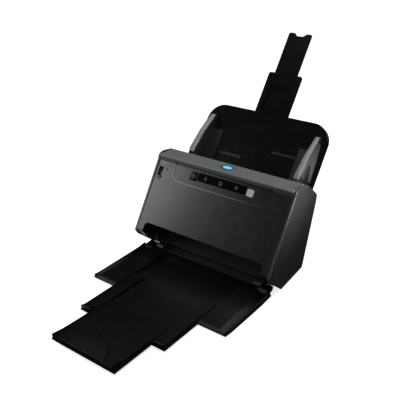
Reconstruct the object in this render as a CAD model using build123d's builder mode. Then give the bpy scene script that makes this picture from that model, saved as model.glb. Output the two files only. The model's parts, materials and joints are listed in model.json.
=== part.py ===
from build123d import *
import os
from math import acos, atan2, cos, degrees, hypot, pi, radians, sin, sqrt, tan

# Desktop sheet-fed document scanner, in millimetres.
# X runs to the right of someone who faces the scanner, Y to the back and Z up.
# While it is built, y = 0 is the upper edge of the front face and z = 0 is the table.
# The last section moves every piece so that the origin is under the middle of the whole scanner.

# Body
body_width = 291.0
cover_wall = 4.5
cover_block_inner = 134.0
cover_edge_round = 1.6
unit_side_gap = 0.6
wall = 2.5
face_wall = 3.0
foot_height = 2.0
floor_thickness = 2.5

# Front face, in the side view (y, z)
face_foot = (-75.0, 47.0)
face_head = (-0.8, 161.4)
brow_height = 170.0
band_depth = 36.0
band_thickness = 2.6

# Side cover outline, in the side view (y, z), with its corner radii
cover_outline = [
    (-76.0, 46.0),
    (-2.0, 163.5),
    (0.5, 172.0),
    (14.0, 174.8),
    (38.0, 171.0),
    (78.5, 138.0),
    (79.0, 125.0),
    (53.0, 2.0),
    (-28.0, 0.5),
    (-70.0, 36.0),
]
cover_radii = [4.0, 12.0, 8.0, 16.0, 14.0, 7.0, 7.0, 3.0, 3.0, 5.0]
crease_top = (52.0, 138.0)
crease_end = (-30.0, 51.0)
crease_slope = 0.0904

# Front unit hinge and opening
front_hinge = (-54.0, 36.0)
front_pin_radius = 3.0
pin_depth = 3.2
shaft_clearance = 0.05
leg_boss = 6.5

# Feed plane: the front surface of the feed tray, which the paper path goes on along
tray_angle = 53.5
tray_foot = (85.5, 146.4)
path_level = -0.5
path_gap = 2.5
guide_thickness = 2.5
guide_half = 116.5
path_top = -20.0
path_bend = -149.0
path_end = -134.0
exit_turn = 38.5
exit_radius = 60.0
exit_end_y = -38.0
funnel_foot = -40.0
guide_seam = 2.6

# Rollers: place along the path, radius and how far they stand into the path
feed_at = -60.0
feed_radius = 9.0
transport_at = -82.0
exit_at = -125.0
drive_radius = 8.5
roller_proud = 1.0
nip_gap = 0.3
separation_radius = 9.0
pinch_radius = 6.0
feed_half_width = 22.0
tyre_centre = 60.0
tyre_width = 24.0
roller_room = 1.5
drive_shaft_radius = 3.0
tyre_thickness = 3.0
pinch_shaft_radius = 1.8
lug_thickness = 2.5

# Inner frames, bushes and gears
frame_inner = 118.0
frame_thickness = 3.0
bush_radius = 6.0
bush_length = 5.0
gear_module = 1.0
gear_face = 6.0
gear_inner = 125.0
gear_backlash = 0.16
gear_room = 1.5
feed_teeth = 20
drive_teeth = 18
upper_idler_teeth = 12
middle_idler_teeth = 28
lower_idler_teeth = 16
motor_teeth = 10
stub_radius = 2.5
motor_angle = -50.0
motor_radius = 13.3
motor_length = 38.0
motor_shaft_radius = 2.0
motor_pilot = 6.0

# Scan units
scan_at = -103.0
scan_width = 18.0
scan_half = 113.5
scan_depth = 14.5
scan_play = 0.5
glass_half = 109.5
glass_width = 13.4
glass_thickness = 2.0
lens_width = 7.0
lens_depth = 4.0
lens_inset = 3.0

# Control panel, on the face: x and height up the face from its lower edge
recess_half = 103.0
recess_low = 106.0
recess_corner = 18.0
recess_depth = 1.8
panel_thickness = 1.0
panel_play = 0.25
window_box = (1.5, 123.5, 143.0, 23.0)
key_travel = 0.8
key_play = 0.25
power_key_box = (-57.5, 124.5, 15.0, 16.0)
start_key_box = (62.6, 123.7, 13.0, 12.6)
strip_box = (2.5, 125.5, 101.0, 15.2)
strip_key_centres = (-31.0, 1.0, 34.0)
strip_key_size = (24.0, 10.0)
strip_key_height = 125.2
strip_thickness = 0.8
key_flange = 0.8
flange_thickness = 0.8
key_proud = 0.7
board_depth = 8.0
board_thickness = 1.2
panel_board_size = (160.0, 20.0)
switch_height = 2.0
slot_centre = (-131.0, 113.6)
slot_size = (10.0, 23.5)
slot_round = 2.0
outlet_half = 127.0
outlet_height = 19.0
outlet_round = 8.0

# Feed tray, guides and extension, in tray coordinates: x, s up the tray, n out of it
tray_half = 128.0
tray_high = 110.0
tray_corner = 34.0
tray_plate = 2.2
rim_width = 2.4
rim_front = 1.0
tray_back = -11.0
tray_foot_solid = 17.0
tray_heel = (-4.0, -6.0)
back_plate = 1.4
guide_face = 107.0
guide_strip = 11.0
guide_flare = 4.0
guide_low = -6.0
guide_high = 86.0
guide_lift = 0.3
guide_floor = 1.2
guide_reach = 24.0
guide_travel = 80.0
guide_spread = 2.5
rack_centre = 30.0
pinion_teeth = 16
rack_gap = 0.3
rack_thickness = 2.3
rack_bar = 5.0
post_at = 112.0
post_size = (8.0, 5.0)
slot_play = 0.5
extension_half = 35.0
extension_thickness = 4.0
extension_low = 82.0
extension_high = 192.0
tip_half = 24.5
tip_step = 2.0
tip_low = 164.0
tip_high = 275.5
notch_top = 12.0
notch_bottom = 6.5
notch_depth = 5.6
slide_gap = 0.3

# Eject tray and its two extensions
eject_hinge = (-46.0, 8.0)
eject_pin_radius = 2.5
arm_inner = 100.0
arm_width = 16.0
arm_eye = 5.5
knuckle_width = 17.0
eject_half = 140.4
eject_front = -189.0
eject_rear = -57.0
eject_skin = 2.4
eject_clear = 0.5
wing_height = 8.2
wing_crease = 124.0
rim_height = 4.0
channel_half = 89.0
channel_rear = -63.5
lip_reach = 2.6
middle_front = -270.0
middle_rear = -140.0
front_front = -350.0
front_rear = -225.0
section_floor = 1.8
section_wall = 2.0
deck_height = 3.6
front_half = 65.4
stopper_half = 36.0
stopper_reach = 25.0
stopper_thickness = 2.0
stopper_pin = 1.0
stopper_barrel = 1.4
stopper_ear = 4.0

# Derived values
half_width = body_width / 2
cover_inner = half_width - cover_wall
unit_half = cover_inner - unit_side_gap
end_wall_inner = unit_half - wall
tray_cos = cos(radians(tray_angle))
tray_sin = sin(radians(tray_angle))
face_length = hypot(face_head[0] - face_foot[0], face_head[1] - face_foot[1])
face_angle = degrees(atan2(face_head[1] - face_foot[1], face_head[0] - face_foot[0]))
face_cos = cos(radians(face_angle))
face_sin = sin(radians(face_angle))
front_level = path_level + path_gap
feed_n = path_level - feed_radius + roller_proud
drive_n = path_level - drive_radius + roller_proud
separation_n = feed_n + feed_radius + nip_gap + separation_radius
pinch_n = drive_n + drive_radius + nip_gap + pinch_radius
gear_outer = gear_inner + gear_face
rack_level = -tray_plate - rack_gap
extension_level = rack_level - rack_thickness - slide_gap


def feed_point(s, n):
    """The side view place (y, z) of a point s up the feed plane and n in front of it."""
    return (tray_foot[0] + s * tray_cos - n * tray_sin, tray_foot[1] + s * tray_sin + n * tray_cos)


def face_point(v, depth):
    """The side view place (y, z) of a point v up the face and depth behind it."""
    return (
        face_foot[0] + v * face_cos + depth * face_sin,
        face_foot[1] + v * face_sin - depth * face_cos,
    )


def body_view(x):
    """The side view at x, with local axes Y and Z."""
    return Plane.YZ.offset(x)


def path_view(x):
    """The side view at x, with local axes s, along the feed plane, and n, out of it."""
    return Plane(origin=(x, *tray_foot), x_dir=(0, tray_cos, tray_sin), z_dir=(1, 0, 0))


def tray_plane(n):
    """The feed plane raised by n, with local axes X and s."""
    return Plane(origin=(0, *feed_point(0, n)), x_dir=(1, 0, 0), z_dir=(0, -tray_sin, tray_cos))


def face_plane(depth):
    """The face plane sunk by depth, with local axes X and v."""
    return Plane(origin=(0, *face_point(0, depth)), x_dir=(1, 0, 0), z_dir=(0, -face_sin, face_cos))


def outline_solid(plane, points, length, radii=0, mode=Mode.ADD):
    """Adds to the open part a closed outline on a plane, drawn out by length."""
    with BuildSketch(plane) as outline:
        with BuildLine():
            FilletPolyline(*points, radius=radii, close=True)
        make_face()
    extrude(outline.sketch, amount=length, mode=mode)


def rectangle_solid(plane, centre, size, height, corner=0, mode=Mode.ADD):
    """Adds to the open part a rectangle on a plane, drawn out by height."""
    with BuildSketch(plane) as outline:
        with Locations(centre):
            if corner:
                RectangleRounded(*size, corner)
            else:
                Rectangle(*size)
    extrude(outline.sketch, amount=height, mode=mode)


def rod(place, radius, x_from, x_to, mode=Mode.ADD):
    """Adds to the open part a rod or bore along X at a side view place (y, z)."""
    with BuildSketch(body_view(x_from)) as outline:
        with Locations(place):
            Circle(radius)
    extrude(outline.sketch, amount=x_to - x_from, mode=mode)


def both_sides(centre, half_size):
    """The ranges of x of a pair of equal stretches, left and right."""
    return [(-centre - half_size, -centre + half_size), (centre - half_size, centre + half_size)]


# Gears

pressure_angle = radians(20)


def flank_angle(radius, pitch_radius, thin):
    """Half the angle that a tooth takes at a radius, with an involute flank."""
    base = pitch_radius * cos(pressure_angle)
    alpha = acos(min(1.0, base / max(radius, base)))
    half_pitch = (pi * gear_module / 2 - thin) / (2 * pitch_radius)
    return half_pitch + tan(pressure_angle) - pressure_angle - tan(alpha) + alpha


def gear_outline(teeth, phase):
    """The outline of a spur gear with a tooth at the angle phase."""
    pitch_radius = gear_module * teeth / 2
    base = pitch_radius * cos(pressure_angle)
    root = pitch_radius - 1.2 * gear_module
    tip = pitch_radius + 0.95 * gear_module
    start = max(base, root + 0.1)
    radii = [start + (tip - start) * k / 3 for k in range(4)]
    flank = [(root, flank_angle(start, pitch_radius, gear_backlash))]
    flank += [(r, flank_angle(r, pitch_radius, gear_backlash)) for r in radii]
    points = []
    for tooth in range(teeth):
        middle = phase + 2 * pi * tooth / teeth
        rise = [(r, middle - half) for r, half in flank]
        fall = [(r, middle + half) for r, half in reversed(flank)]
        points += [(r * cos(angle), r * sin(angle)) for r, angle in rise + fall]
    return points


def mesh_phase(centre, phase, teeth, other_centre, other_teeth):
    """The phase of a second gear whose gap meets the first gear's tooth."""
    line = atan2(other_centre[1] - centre[1], other_centre[0] - centre[0])
    shift = (phase - line) * teeth / 2 + pi / 2
    return line + pi - shift * 2 / other_teeth


def gear_solid(place, teeth, phase, bore):
    """Adds to the open part a spur gear on the left side, with a hub towards the frame."""
    start = -gear_inner - gear_face
    points = [(place[0] + y, place[1] + z) for y, z in gear_outline(teeth, phase)]
    with BuildSketch(body_view(start)) as outline:
        Polygon(*points, align=None)
    extrude(outline.sketch, amount=gear_face)
    rod(place, bore, start, -gear_inner, mode=Mode.SUBTRACT)


def third_point(a, b, from_a, from_b, side):
    """The point at given distances from a and b, on one side of the line between them."""
    span = hypot(b[0] - a[0], b[1] - a[1])
    along = (span**2 + from_a**2 - from_b**2) / (2 * span)
    off = side * sqrt(from_a**2 - along**2)
    across = ((b[0] - a[0]) / span, (b[1] - a[1]) / span)
    return (a[0] + along * across[0] - off * across[1], a[1] + along * across[1] + off * across[0])


def centre_distance(teeth, other_teeth):
    return gear_module * (teeth + other_teeth) / 2


feed_centre = feed_point(feed_at, feed_n)
transport_centre = feed_point(transport_at, drive_n)
exit_centre = feed_point(exit_at, drive_n)
upper_idler_centre = third_point(
    feed_centre,
    transport_centre,
    centre_distance(feed_teeth, upper_idler_teeth),
    centre_distance(drive_teeth, upper_idler_teeth),
    1,
)
idler_reach = centre_distance(drive_teeth, middle_idler_teeth)
middle_idler_centre = third_point(transport_centre, exit_centre, idler_reach, idler_reach, 1)
motor_line = (cos(radians(motor_angle)), sin(radians(motor_angle)))
lower_idler_reach = centre_distance(drive_teeth, lower_idler_teeth)
motor_reach = lower_idler_reach + centre_distance(lower_idler_teeth, motor_teeth)
lower_idler_centre = (
    exit_centre[0] + lower_idler_reach * motor_line[0],
    exit_centre[1] + lower_idler_reach * motor_line[1],
)
motor_centre = (
    exit_centre[0] + motor_reach * motor_line[0],
    exit_centre[1] + motor_reach * motor_line[1],
)

exit_phase = 0.0
middle_phase = mesh_phase(exit_centre, exit_phase, drive_teeth, middle_idler_centre, middle_idler_teeth)
transport_phase = mesh_phase(
    middle_idler_centre, middle_phase, middle_idler_teeth, transport_centre, drive_teeth
)
upper_phase = mesh_phase(
    transport_centre, transport_phase, drive_teeth, upper_idler_centre, upper_idler_teeth
)
feed_phase = mesh_phase(upper_idler_centre, upper_phase, upper_idler_teeth, feed_centre, feed_teeth)
lower_phase = mesh_phase(exit_centre, exit_phase, drive_teeth, lower_idler_centre, lower_idler_teeth)
motor_phase = mesh_phase(lower_idler_centre, lower_phase, lower_idler_teeth, motor_centre, motor_teeth)

# Side covers: a shell with an arched top, whose outer face leans in behind a crease

crease_run = hypot(crease_end[0] - crease_top[0], crease_end[1] - crease_top[1])
crease_across = (
    -(crease_end[1] - crease_top[1]) / crease_run,
    (crease_end[0] - crease_top[0]) / crease_run,
)
crease_plane = Plane(
    origin=(half_width, *crease_top),
    z_dir=(1, crease_slope * crease_across[0], crease_slope * crease_across[1]),
)
crease_middle = Vector(
    half_width, (crease_top[0] + crease_end[0]) / 2, (crease_top[1] + crease_end[1]) / 2
)
path_turn = feed_point(path_bend, path_level)
exit_slope = radians(tray_angle - exit_turn)
exit_end = (
    exit_end_y,
    path_turn[1] - (path_turn[0] - exit_end_y) * tan(exit_slope),
)
unit_room = [
    feed_point(50, path_level - 0.5),
    feed_point(path_end, path_level - 0.5),
    (-26.5, 13.0),
    (-26.5, -10.0),
    (-100.0, -10.0),
    (-100.0, 200.0),
]
striker_place = (49.5, 150.0)
striker_radius = 2.0
striker_reach = 8.5

with BuildPart() as right_side_cover:
    outline_solid(
        body_view(cover_block_inner), cover_outline, half_width - cover_block_inner, cover_radii
    )
    split(bisect_by=crease_plane, keep=Keep.BOTTOM)
    outer_faces = right_side_cover.faces().filter_by(lambda f: f.normal_at().X > 0.9)
    rim_edges = outer_faces.edges().filter_by(lambda e: e.distance_to(crease_middle) > 1)
    fillet(rim_edges, cover_edge_round)
    outline_solid(
        body_view(cover_block_inner), unit_room, cover_inner - cover_block_inner, mode=Mode.SUBTRACT
    )
    rod(
        front_hinge,
        front_pin_radius + shaft_clearance,
        cover_inner,
        cover_inner + pin_depth,
        mode=Mode.SUBTRACT,
    )
    rod(striker_place, striker_radius, cover_inner - striker_reach, cover_inner)

with BuildPart() as left_side_cover:
    mirror(right_side_cover.part, about=Plane.YZ)

# Bottom plate, with the two arms that carry the eject tray, and the rubber feet

plate_half = cover_block_inner - 0.3
plate_rear = 49.2
plate_front = -28.0
floor_top = foot_height + floor_thickness
board_box = (20.0, 14.0, 180.0, 62.0)
board_level = 8.0
board_post_radius = 3.0
foot_radius = 9.0
foot_inset = (16.0, 10.0)

with BuildPart() as bottom_plate:
    outline_solid(
        body_view(-plate_half),
        [
            (plate_front, foot_height),
            (plate_rear, foot_height),
            (plate_rear, floor_top),
            (plate_front, floor_top),
        ],
        2 * plate_half,
    )
    for x_from, x_to in both_sides(arm_inner + arm_width / 2, arm_width / 2):
        outline_solid(
            body_view(x_from),
            [
                (plate_front + 8, foot_height),
                (plate_front + 8, floor_top + 2),
                (eject_hinge[0], eject_hinge[1] + arm_eye),
                (eject_hinge[0], eject_hinge[1] - arm_eye),
            ],
            arm_width,
        )
        rod(eject_hinge, arm_eye, x_from, x_to)
        rod(eject_hinge, eject_pin_radius, x_from, x_to, mode=Mode.SUBTRACT)
    board_corners = [
        (board_box[0] + i * (board_box[2] / 2 - 6), board_box[1] + j * (board_box[3] / 2 - 6))
        for i in (-1, 1)
        for j in (-1, 1)
    ]
    with BuildSketch(Plane.XY.offset(floor_top)) as board_posts:
        with Locations(board_corners):
            Circle(board_post_radius)
    extrude(amount=board_level - floor_top)

with BuildPart() as rubber_feet:
    foot_y = (plate_front + foot_inset[1], plate_rear - foot_inset[1])
    foot_x = plate_half - foot_inset[0]
    with BuildSketch(Plane.XY) as foot_circles:
        with Locations([(i * foot_x, y) for i in (-1, 1) for y in foot_y]):
            Circle(foot_radius)
    extrude(amount=foot_height)
    chamfer(rubber_feet.edges().group_by(Axis.Z)[0], 0.5)

# Main board, with its ports at the back

port_centre = 60.0
port_size = (12.0, 11.0)
port_depth = 15.0
port_mouth = (8.6, 7.8)
inlet_centre = 84.0
inlet_size = (10.0, 11.0)
inlet_bore = 3.2
inlet_pin = 1.0
board_plate = 1.6
board_top = board_level + board_plate
port_rear = 54.2
lock_centre = 112.0

with BuildPart() as main_board:
    rectangle_solid(Plane.XY.offset(board_level), board_box[:2], board_box[2:], board_plate)
    chips = [(-20.0, 14.0, 20.0, 20.0), (24.0, 6.0, 12.0, 16.0), (70.0, 8.0, 14.0, 14.0)]
    for x, y, width, depth in chips:
        rectangle_solid(Plane.XY.offset(board_top), (x, y), (width, depth), 1.4)

rear_face = Plane(origin=(0, port_rear, 0), x_dir=(1, 0, 0), z_dir=(0, -1, 0))

with BuildPart() as rear_ports:
    middle = (port_centre, board_top + port_size[1] / 2)
    rectangle_solid(rear_face, middle, port_size, port_depth)
    rectangle_solid(rear_face, middle, port_mouth, port_depth - 3, mode=Mode.SUBTRACT)
    rectangle_solid(rear_face, middle, (5.6, 3.2), port_depth - 1)
    middle = (inlet_centre, board_top + inlet_size[1] / 2)
    rectangle_solid(rear_face, middle, inlet_size, port_depth)
    with BuildSketch(rear_face) as inlet_ring:
        with Locations(middle):
            Circle(inlet_bore)
            Circle(inlet_pin, mode=Mode.SUBTRACT)
    extrude(amount=port_depth - 4, mode=Mode.SUBTRACT)

# Rear cover: one leaning wall with cut-outs for the ports, a lock slot and vents

rear_foot = (52.0, 2.0)
rear_shoulder = (79.0, 119.0)
rear_run = hypot(rear_shoulder[0] - rear_foot[0], rear_shoulder[1] - rear_foot[1])
rear_out = (
    (rear_shoulder[1] - rear_foot[1]) / rear_run,
    -(rear_shoulder[0] - rear_foot[0]) / rear_run,
)
heel = feed_point(path_top, tray_heel[1])
lip_rear = feed_point(path_top, path_level - guide_thickness)
rear_plane = Plane(origin=(0, *rear_foot), x_dir=(-1, 0, 0), z_dir=(0, *rear_out))
vent_count = 12
vent_pitch = 9.0
vent_size = (3.2, 34.0)
vent_height = 78.0
cut_play = 0.7

with BuildPart() as rear_cover:
    outline_solid(
        body_view(-plate_half),
        [
            rear_foot,
            rear_shoulder,
            heel,
            lip_rear,
            (rear_shoulder[0] - wall * rear_out[0] - 0.4, rear_shoulder[1] - 2),
            (rear_foot[0] - wall * rear_out[0], rear_foot[1]),
        ],
        2 * plate_half,
    )
    with BuildSketch(rear_plane.offset(1)) as vents:
        with Locations((0, vent_height)):
            with GridLocations(vent_pitch, 1, vent_count, 1):
                SlotOverall(vent_size[1], vent_size[0], rotation=90)
    extrude(amount=-wall - 2, mode=Mode.SUBTRACT)
    port_cut = Plane(origin=(0, port_rear + 10, 0), x_dir=(1, 0, 0), z_dir=(0, -1, 0))
    for x, size in ((port_centre, port_size), (inlet_centre, inlet_size)):
        rectangle_solid(
            port_cut,
            (x, board_top + size[1] / 2),
            (size[0] + 2 * cut_play, size[1] + 2 * cut_play),
            20,
            corner=0.6,
            mode=Mode.SUBTRACT,
        )
    rectangle_solid(port_cut, (lock_centre, 16), (7, 3), 20, corner=1, mode=Mode.SUBTRACT)

# Inner frames, with studs for the idler gears on the left one

frame_outline = [
    feed_point(path_top - 2, path_level - guide_thickness),
    feed_point(path_bend + exit_radius * tan(radians(exit_turn / 2)), path_level - guide_thickness),
    (0.0, 24.0),
    (-22.0, 15.0),
    (-24.0, floor_top),
    (46.0, floor_top),
    (71.0, 112.0),
]
drive_centres = [feed_centre, transport_centre, exit_centre]
idler_centres = [upper_idler_centre, middle_idler_centre, lower_idler_centre]

with BuildPart() as right_frame:
    outline_solid(body_view(frame_inner), frame_outline, frame_thickness)
    for centre in drive_centres:
        rod(centre, bush_radius, frame_inner, frame_inner + frame_thickness, mode=Mode.SUBTRACT)

with BuildPart() as left_frame:
    outline_solid(body_view(-frame_inner - frame_thickness), frame_outline, frame_thickness)
    for centre in drive_centres:
        rod(centre, bush_radius, -frame_inner - frame_thickness, -frame_inner, mode=Mode.SUBTRACT)
    rod(motor_centre, motor_pilot, -frame_inner - frame_thickness, -frame_inner, mode=Mode.SUBTRACT)
    for centre in idler_centres:
        rod(centre, stub_radius + 1.5, -gear_inner + 0.3, -frame_inner)
        rod(centre, stub_radius, -gear_outer - 0.8, -frame_inner)

with BuildPart() as roller_bearings:
    for centre in drive_centres:
        for x_from, x_to in both_sides(frame_inner + frame_thickness / 2, bush_length / 2):
            rod(centre, bush_radius, x_from, x_to)
            rod(centre, drive_shaft_radius + shaft_clearance, x_from, x_to, mode=Mode.SUBTRACT)

# Rear paper guide, with windows for the rollers and the scan unit


def guide_windows(n_from, height):
    """Cuts the roller and scan windows through the open part, along the feed plane."""
    wide = tyre_width + 2 * roller_room
    for s, radius in ((transport_at, drive_radius), (exit_at, drive_radius)):
        for x in (-tyre_centre, tyre_centre):
            size = (wide, 2 * radius + 2 * roller_room)
            rectangle_solid(tray_plane(n_from), (x, s), size, height, mode=Mode.SUBTRACT)
    feed_window = (2 * (feed_half_width + 2 * roller_room), 2 * (feed_radius + roller_room))
    rectangle_solid(tray_plane(n_from), (0, feed_at), feed_window, height, mode=Mode.SUBTRACT)
    scan_window = (2 * (scan_half + scan_play), scan_width + 2 * scan_play)
    rectangle_solid(tray_plane(n_from), (0, scan_at), scan_window, height, mode=Mode.SUBTRACT)


brim_low = -44.0

with BuildPart() as rear_guide:
    with BuildSketch(body_view(-guide_half)) as guide_section:
        with BuildLine():
            FilletPolyline(
                feed_point(path_top, path_level), path_turn, exit_end, radius=exit_radius
            )
            offset(amount=guide_thickness, side=Side.LEFT, kind=Kind.INTERSECTION)
        make_face()
    extrude(amount=2 * guide_half)
    rectangle_solid(
        tray_plane(path_level - guide_thickness),
        (0, (path_top + brim_low) / 2),
        (2 * plate_half, path_top - brim_low),
        guide_thickness,
    )
    guide_windows(path_level - 8, 9)

# Scan units: a housing with a lens slot under its glass


def scan_housing(level, out):
    """Adds a scan unit whose glass side is at a level, with its body on the side out."""
    start = level if out > 0 else level - scan_depth
    width = (2 * scan_half, scan_width)
    rectangle_solid(tray_plane(start), (0, scan_at), width, scan_depth)
    pocket = level if out > 0 else level - glass_thickness
    rectangle_solid(
        tray_plane(pocket),
        (0, scan_at),
        (2 * glass_half, glass_width),
        glass_thickness,
        mode=Mode.SUBTRACT,
    )
    lens_start = level + glass_thickness if out > 0 else level - glass_thickness - lens_depth
    rectangle_solid(
        tray_plane(lens_start),
        (0, scan_at),
        (2 * (glass_half - lens_inset), lens_width),
        lens_depth,
        mode=Mode.SUBTRACT,
    )


scan_sink = 0.4
rear_scan_level = path_level - scan_sink
front_scan_level = front_level + scan_sink

with BuildPart() as rear_scan_unit:
    scan_housing(rear_scan_level, -1)
    rectangle_solid(
        tray_plane(rear_scan_level - scan_depth),
        (0, scan_at),
        (2 * frame_inner, scan_width - 8),
        scan_depth - 4,
    )
    lens_floor = rear_scan_level - glass_thickness - lens_depth
    rectangle_solid(
        tray_plane(lens_floor),
        (0, scan_at),
        (2 * (glass_half - lens_inset), lens_width),
        lens_depth,
        mode=Mode.SUBTRACT,
    )

with BuildPart() as rear_scan_glass:
    rectangle_solid(
        tray_plane(rear_scan_level - glass_thickness),
        (0, scan_at),
        (2 * glass_half, glass_width),
        glass_thickness,
    )

front_flange = 3.0

with BuildPart() as front_scan_unit:
    scan_housing(front_scan_level, 1)
    with BuildSketch(tray_plane(front_level + guide_thickness)) as flange_ring:
        with Locations((0, scan_at)):
            Rectangle(2 * scan_half + 2 * front_flange, scan_width + 2 * front_flange)
            Rectangle(2 * scan_half, scan_width, mode=Mode.SUBTRACT)
    extrude(amount=1.6)

with BuildPart() as front_scan_glass:
    rectangle_solid(
        tray_plane(front_scan_level), (0, scan_at), (2 * glass_half, glass_width), glass_thickness
    )

# Driven rollers: each is a steel shaft with rubber tyres and a gear on its left end


def drive_shaft(centre):
    """Adds a drive shaft that runs from its gear to the right bush."""
    rod(centre, drive_shaft_radius, -gear_outer, frame_inner + bush_length - 1)


def tyre_pair(centre, radius, bore):
    """Adds two rubber tyres, at equal distances from the middle."""
    for x_from, x_to in both_sides(tyre_centre, tyre_width / 2):
        rod(centre, radius, x_from, x_to)
        rod(centre, bore, x_from, x_to, mode=Mode.SUBTRACT)


def hub_pair(centre, radius):
    """Adds the two hubs that tyres sit on."""
    for x_from, x_to in both_sides(tyre_centre, tyre_width / 2):
        rod(centre, radius, x_from, x_to)


with BuildPart() as feed_shaft:
    drive_shaft(feed_centre)
    rod(feed_centre, feed_radius - tyre_thickness, -feed_half_width, feed_half_width)

with BuildPart() as feed_tyre:
    rod(feed_centre, feed_radius, -feed_half_width, feed_half_width)
    rod(
        feed_centre,
        feed_radius - tyre_thickness,
        -feed_half_width,
        feed_half_width,
        mode=Mode.SUBTRACT,
    )

with BuildPart() as transport_shaft:
    drive_shaft(transport_centre)
    hub_pair(transport_centre, drive_radius - tyre_thickness)

with BuildPart() as transport_tyres:
    tyre_pair(transport_centre, drive_radius, drive_radius - tyre_thickness)

with BuildPart() as exit_shaft:
    drive_shaft(exit_centre)
    hub_pair(exit_centre, drive_radius - tyre_thickness)

with BuildPart() as exit_tyres:
    tyre_pair(exit_centre, drive_radius, drive_radius - tyre_thickness)

with BuildPart() as feed_gear:
    gear_solid(feed_centre, feed_teeth, feed_phase, drive_shaft_radius)

with BuildPart() as transport_gear:
    gear_solid(transport_centre, drive_teeth, transport_phase, drive_shaft_radius)

with BuildPart() as exit_gear:
    gear_solid(exit_centre, drive_teeth, exit_phase, drive_shaft_radius)

idler_bore = stub_radius + shaft_clearance

with BuildPart() as upper_idler:
    gear_solid(upper_idler_centre, upper_idler_teeth, upper_phase, idler_bore)

with BuildPart() as middle_idler:
    gear_solid(middle_idler_centre, middle_idler_teeth, middle_phase, idler_bore)

with BuildPart() as lower_idler:
    gear_solid(lower_idler_centre, lower_idler_teeth, lower_phase, idler_bore)

# Drive motor against the left frame, with the pinion on its shaft

motor_mouth = 16.0

with BuildPart() as drive_motor:
    rod(motor_centre, motor_radius, -frame_inner, -frame_inner + motor_length)
    chamfer(drive_motor.edges().filter_by(GeomType.CIRCLE), 1.0)
    rod(motor_centre, motor_pilot, -frame_inner - frame_thickness, -frame_inner)
    rod(
        motor_centre,
        motor_shaft_radius + shaft_clearance,
        -frame_inner - frame_thickness,
        -frame_inner + motor_mouth,
        mode=Mode.SUBTRACT,
    )

with BuildPart() as motor_pinion:
    gear_solid(motor_centre, motor_teeth, motor_phase, 0.5)
    rod(motor_centre, motor_shaft_radius, -gear_outer, -frame_inner + motor_mouth - 1)

# Feed tray: a rimmed plate with rounded upper corners and slots for the guides

tray_outline = [
    (-tray_half, path_top),
    (tray_half, path_top),
    (tray_half, tray_high),
    (-tray_half, tray_high),
]
tray_radii = [2.0, 2.0, tray_corner, tray_corner]
inner_half = tray_half - rim_width
pocket_low = path_top + tray_foot_solid
pocket_outline = [
    (-inner_half, pocket_low),
    (inner_half, pocket_low),
    (inner_half, tray_high - rim_width),
    (-inner_half, tray_high - rim_width),
]
pocket_radii = [2.0, 2.0, tray_corner - rim_width, tray_corner - rim_width]
pinion_radius = gear_module * pinion_teeth / 2
rack_pitch_lines = {1: rack_centre + pinion_radius, -1: rack_centre - pinion_radius}
rack_root = 1.2 * gear_module
rack_tip = 0.95 * gear_module
rail_gap = 0.4
rail_width = 1.6
rail_low = 52.0
plate_level = tray_back + back_plate


def bar_centre(side):
    """The height up the tray of the solid bar of a guide's rack."""
    return rack_pitch_lines[side] + side * (rack_root + rack_bar / 2)


with BuildPart() as feed_tray:
    outline_solid(tray_plane(tray_back), tray_outline, -tray_back, tray_radii)
    outline_solid(
        tray_plane(tray_back),
        pocket_outline,
        -tray_back - tray_plate,
        pocket_radii,
        mode=Mode.SUBTRACT,
    )
    outline_solid(
        path_view(-tray_half - 1),
        [
            (path_top - 1, tray_heel[1]),
            (path_top, tray_heel[1]),
            (tray_heel[0], tray_back),
            (tray_heel[0], tray_back - 1),
            (path_top - 1, tray_back - 1),
        ],
        2 * tray_half + 2,
        mode=Mode.SUBTRACT,
    )
    with BuildSketch(tray_plane(0)) as rim_ring:
        with BuildLine():
            FilletPolyline(*tray_outline, radius=tray_radii, close=True)
        make_face()
        with BuildLine(mode=Mode.PRIVATE) as inner_line:
            FilletPolyline(
                (-inner_half, path_top - 5),
                (inner_half, path_top - 5),
                (inner_half, tray_high - rim_width),
                (-inner_half, tray_high - rim_width),
                radius=pocket_radii,
                close=True,
            )
        make_face(inner_line.line, mode=Mode.SUBTRACT)
    extrude(amount=rim_front)
    for side in (-1, 1):
        slot_out = post_at + guide_spread + post_size[0] / 2 + slot_play
        slot_in = post_at - guide_travel - post_size[0] / 2 - slot_play
        rectangle_solid(
            tray_plane(-tray_plate - 1),
            (side * (slot_out + slot_in) / 2, bar_centre(side)),
            (slot_out - slot_in, post_size[1] + 2 * slot_play),
            tray_plate + 2,
            mode=Mode.SUBTRACT,
        )
        rectangle_solid(
            tray_plane(plate_level),
            (side * (extension_half + rail_gap + rail_width / 2), (rail_low + tray_high) / 2),
            (rail_width, tray_high - rail_low - rim_width),
            -tray_plate - plate_level,
        )
        rectangle_solid(
            tray_plane(rack_level - rack_thickness),
            (0, bar_centre(side) + side * (rack_bar / 2 + rail_gap + rail_width / 2)),
            (2 * inner_half, rail_width),
            rack_thickness + rack_gap,
        )
    rectangle_solid(
        tray_plane(plate_level),
        (0, tray_high),
        (2 * (extension_half + rail_gap), 3 * rim_width),
        extension_level + slide_gap - plate_level,
        mode=Mode.SUBTRACT,
    )
    with BuildSketch(tray_plane(rack_level - rack_thickness)) as pinion_stub:
        with Locations((0, rack_centre)):
            Circle(stub_radius)
    extrude(amount=rack_thickness + rack_gap)

with BuildPart() as feed_tray_back:
    outline_solid(
        tray_plane(tray_back),
        [
            (-inner_half, tray_heel[0] + 1.5),
            (inner_half, tray_heel[0] + 1.5),
            (inner_half, tray_high - rim_width),
            (-inner_half, tray_high - rim_width),
        ],
        back_plate,
        pocket_radii,
    )

# Guide racks and their pinion


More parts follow.
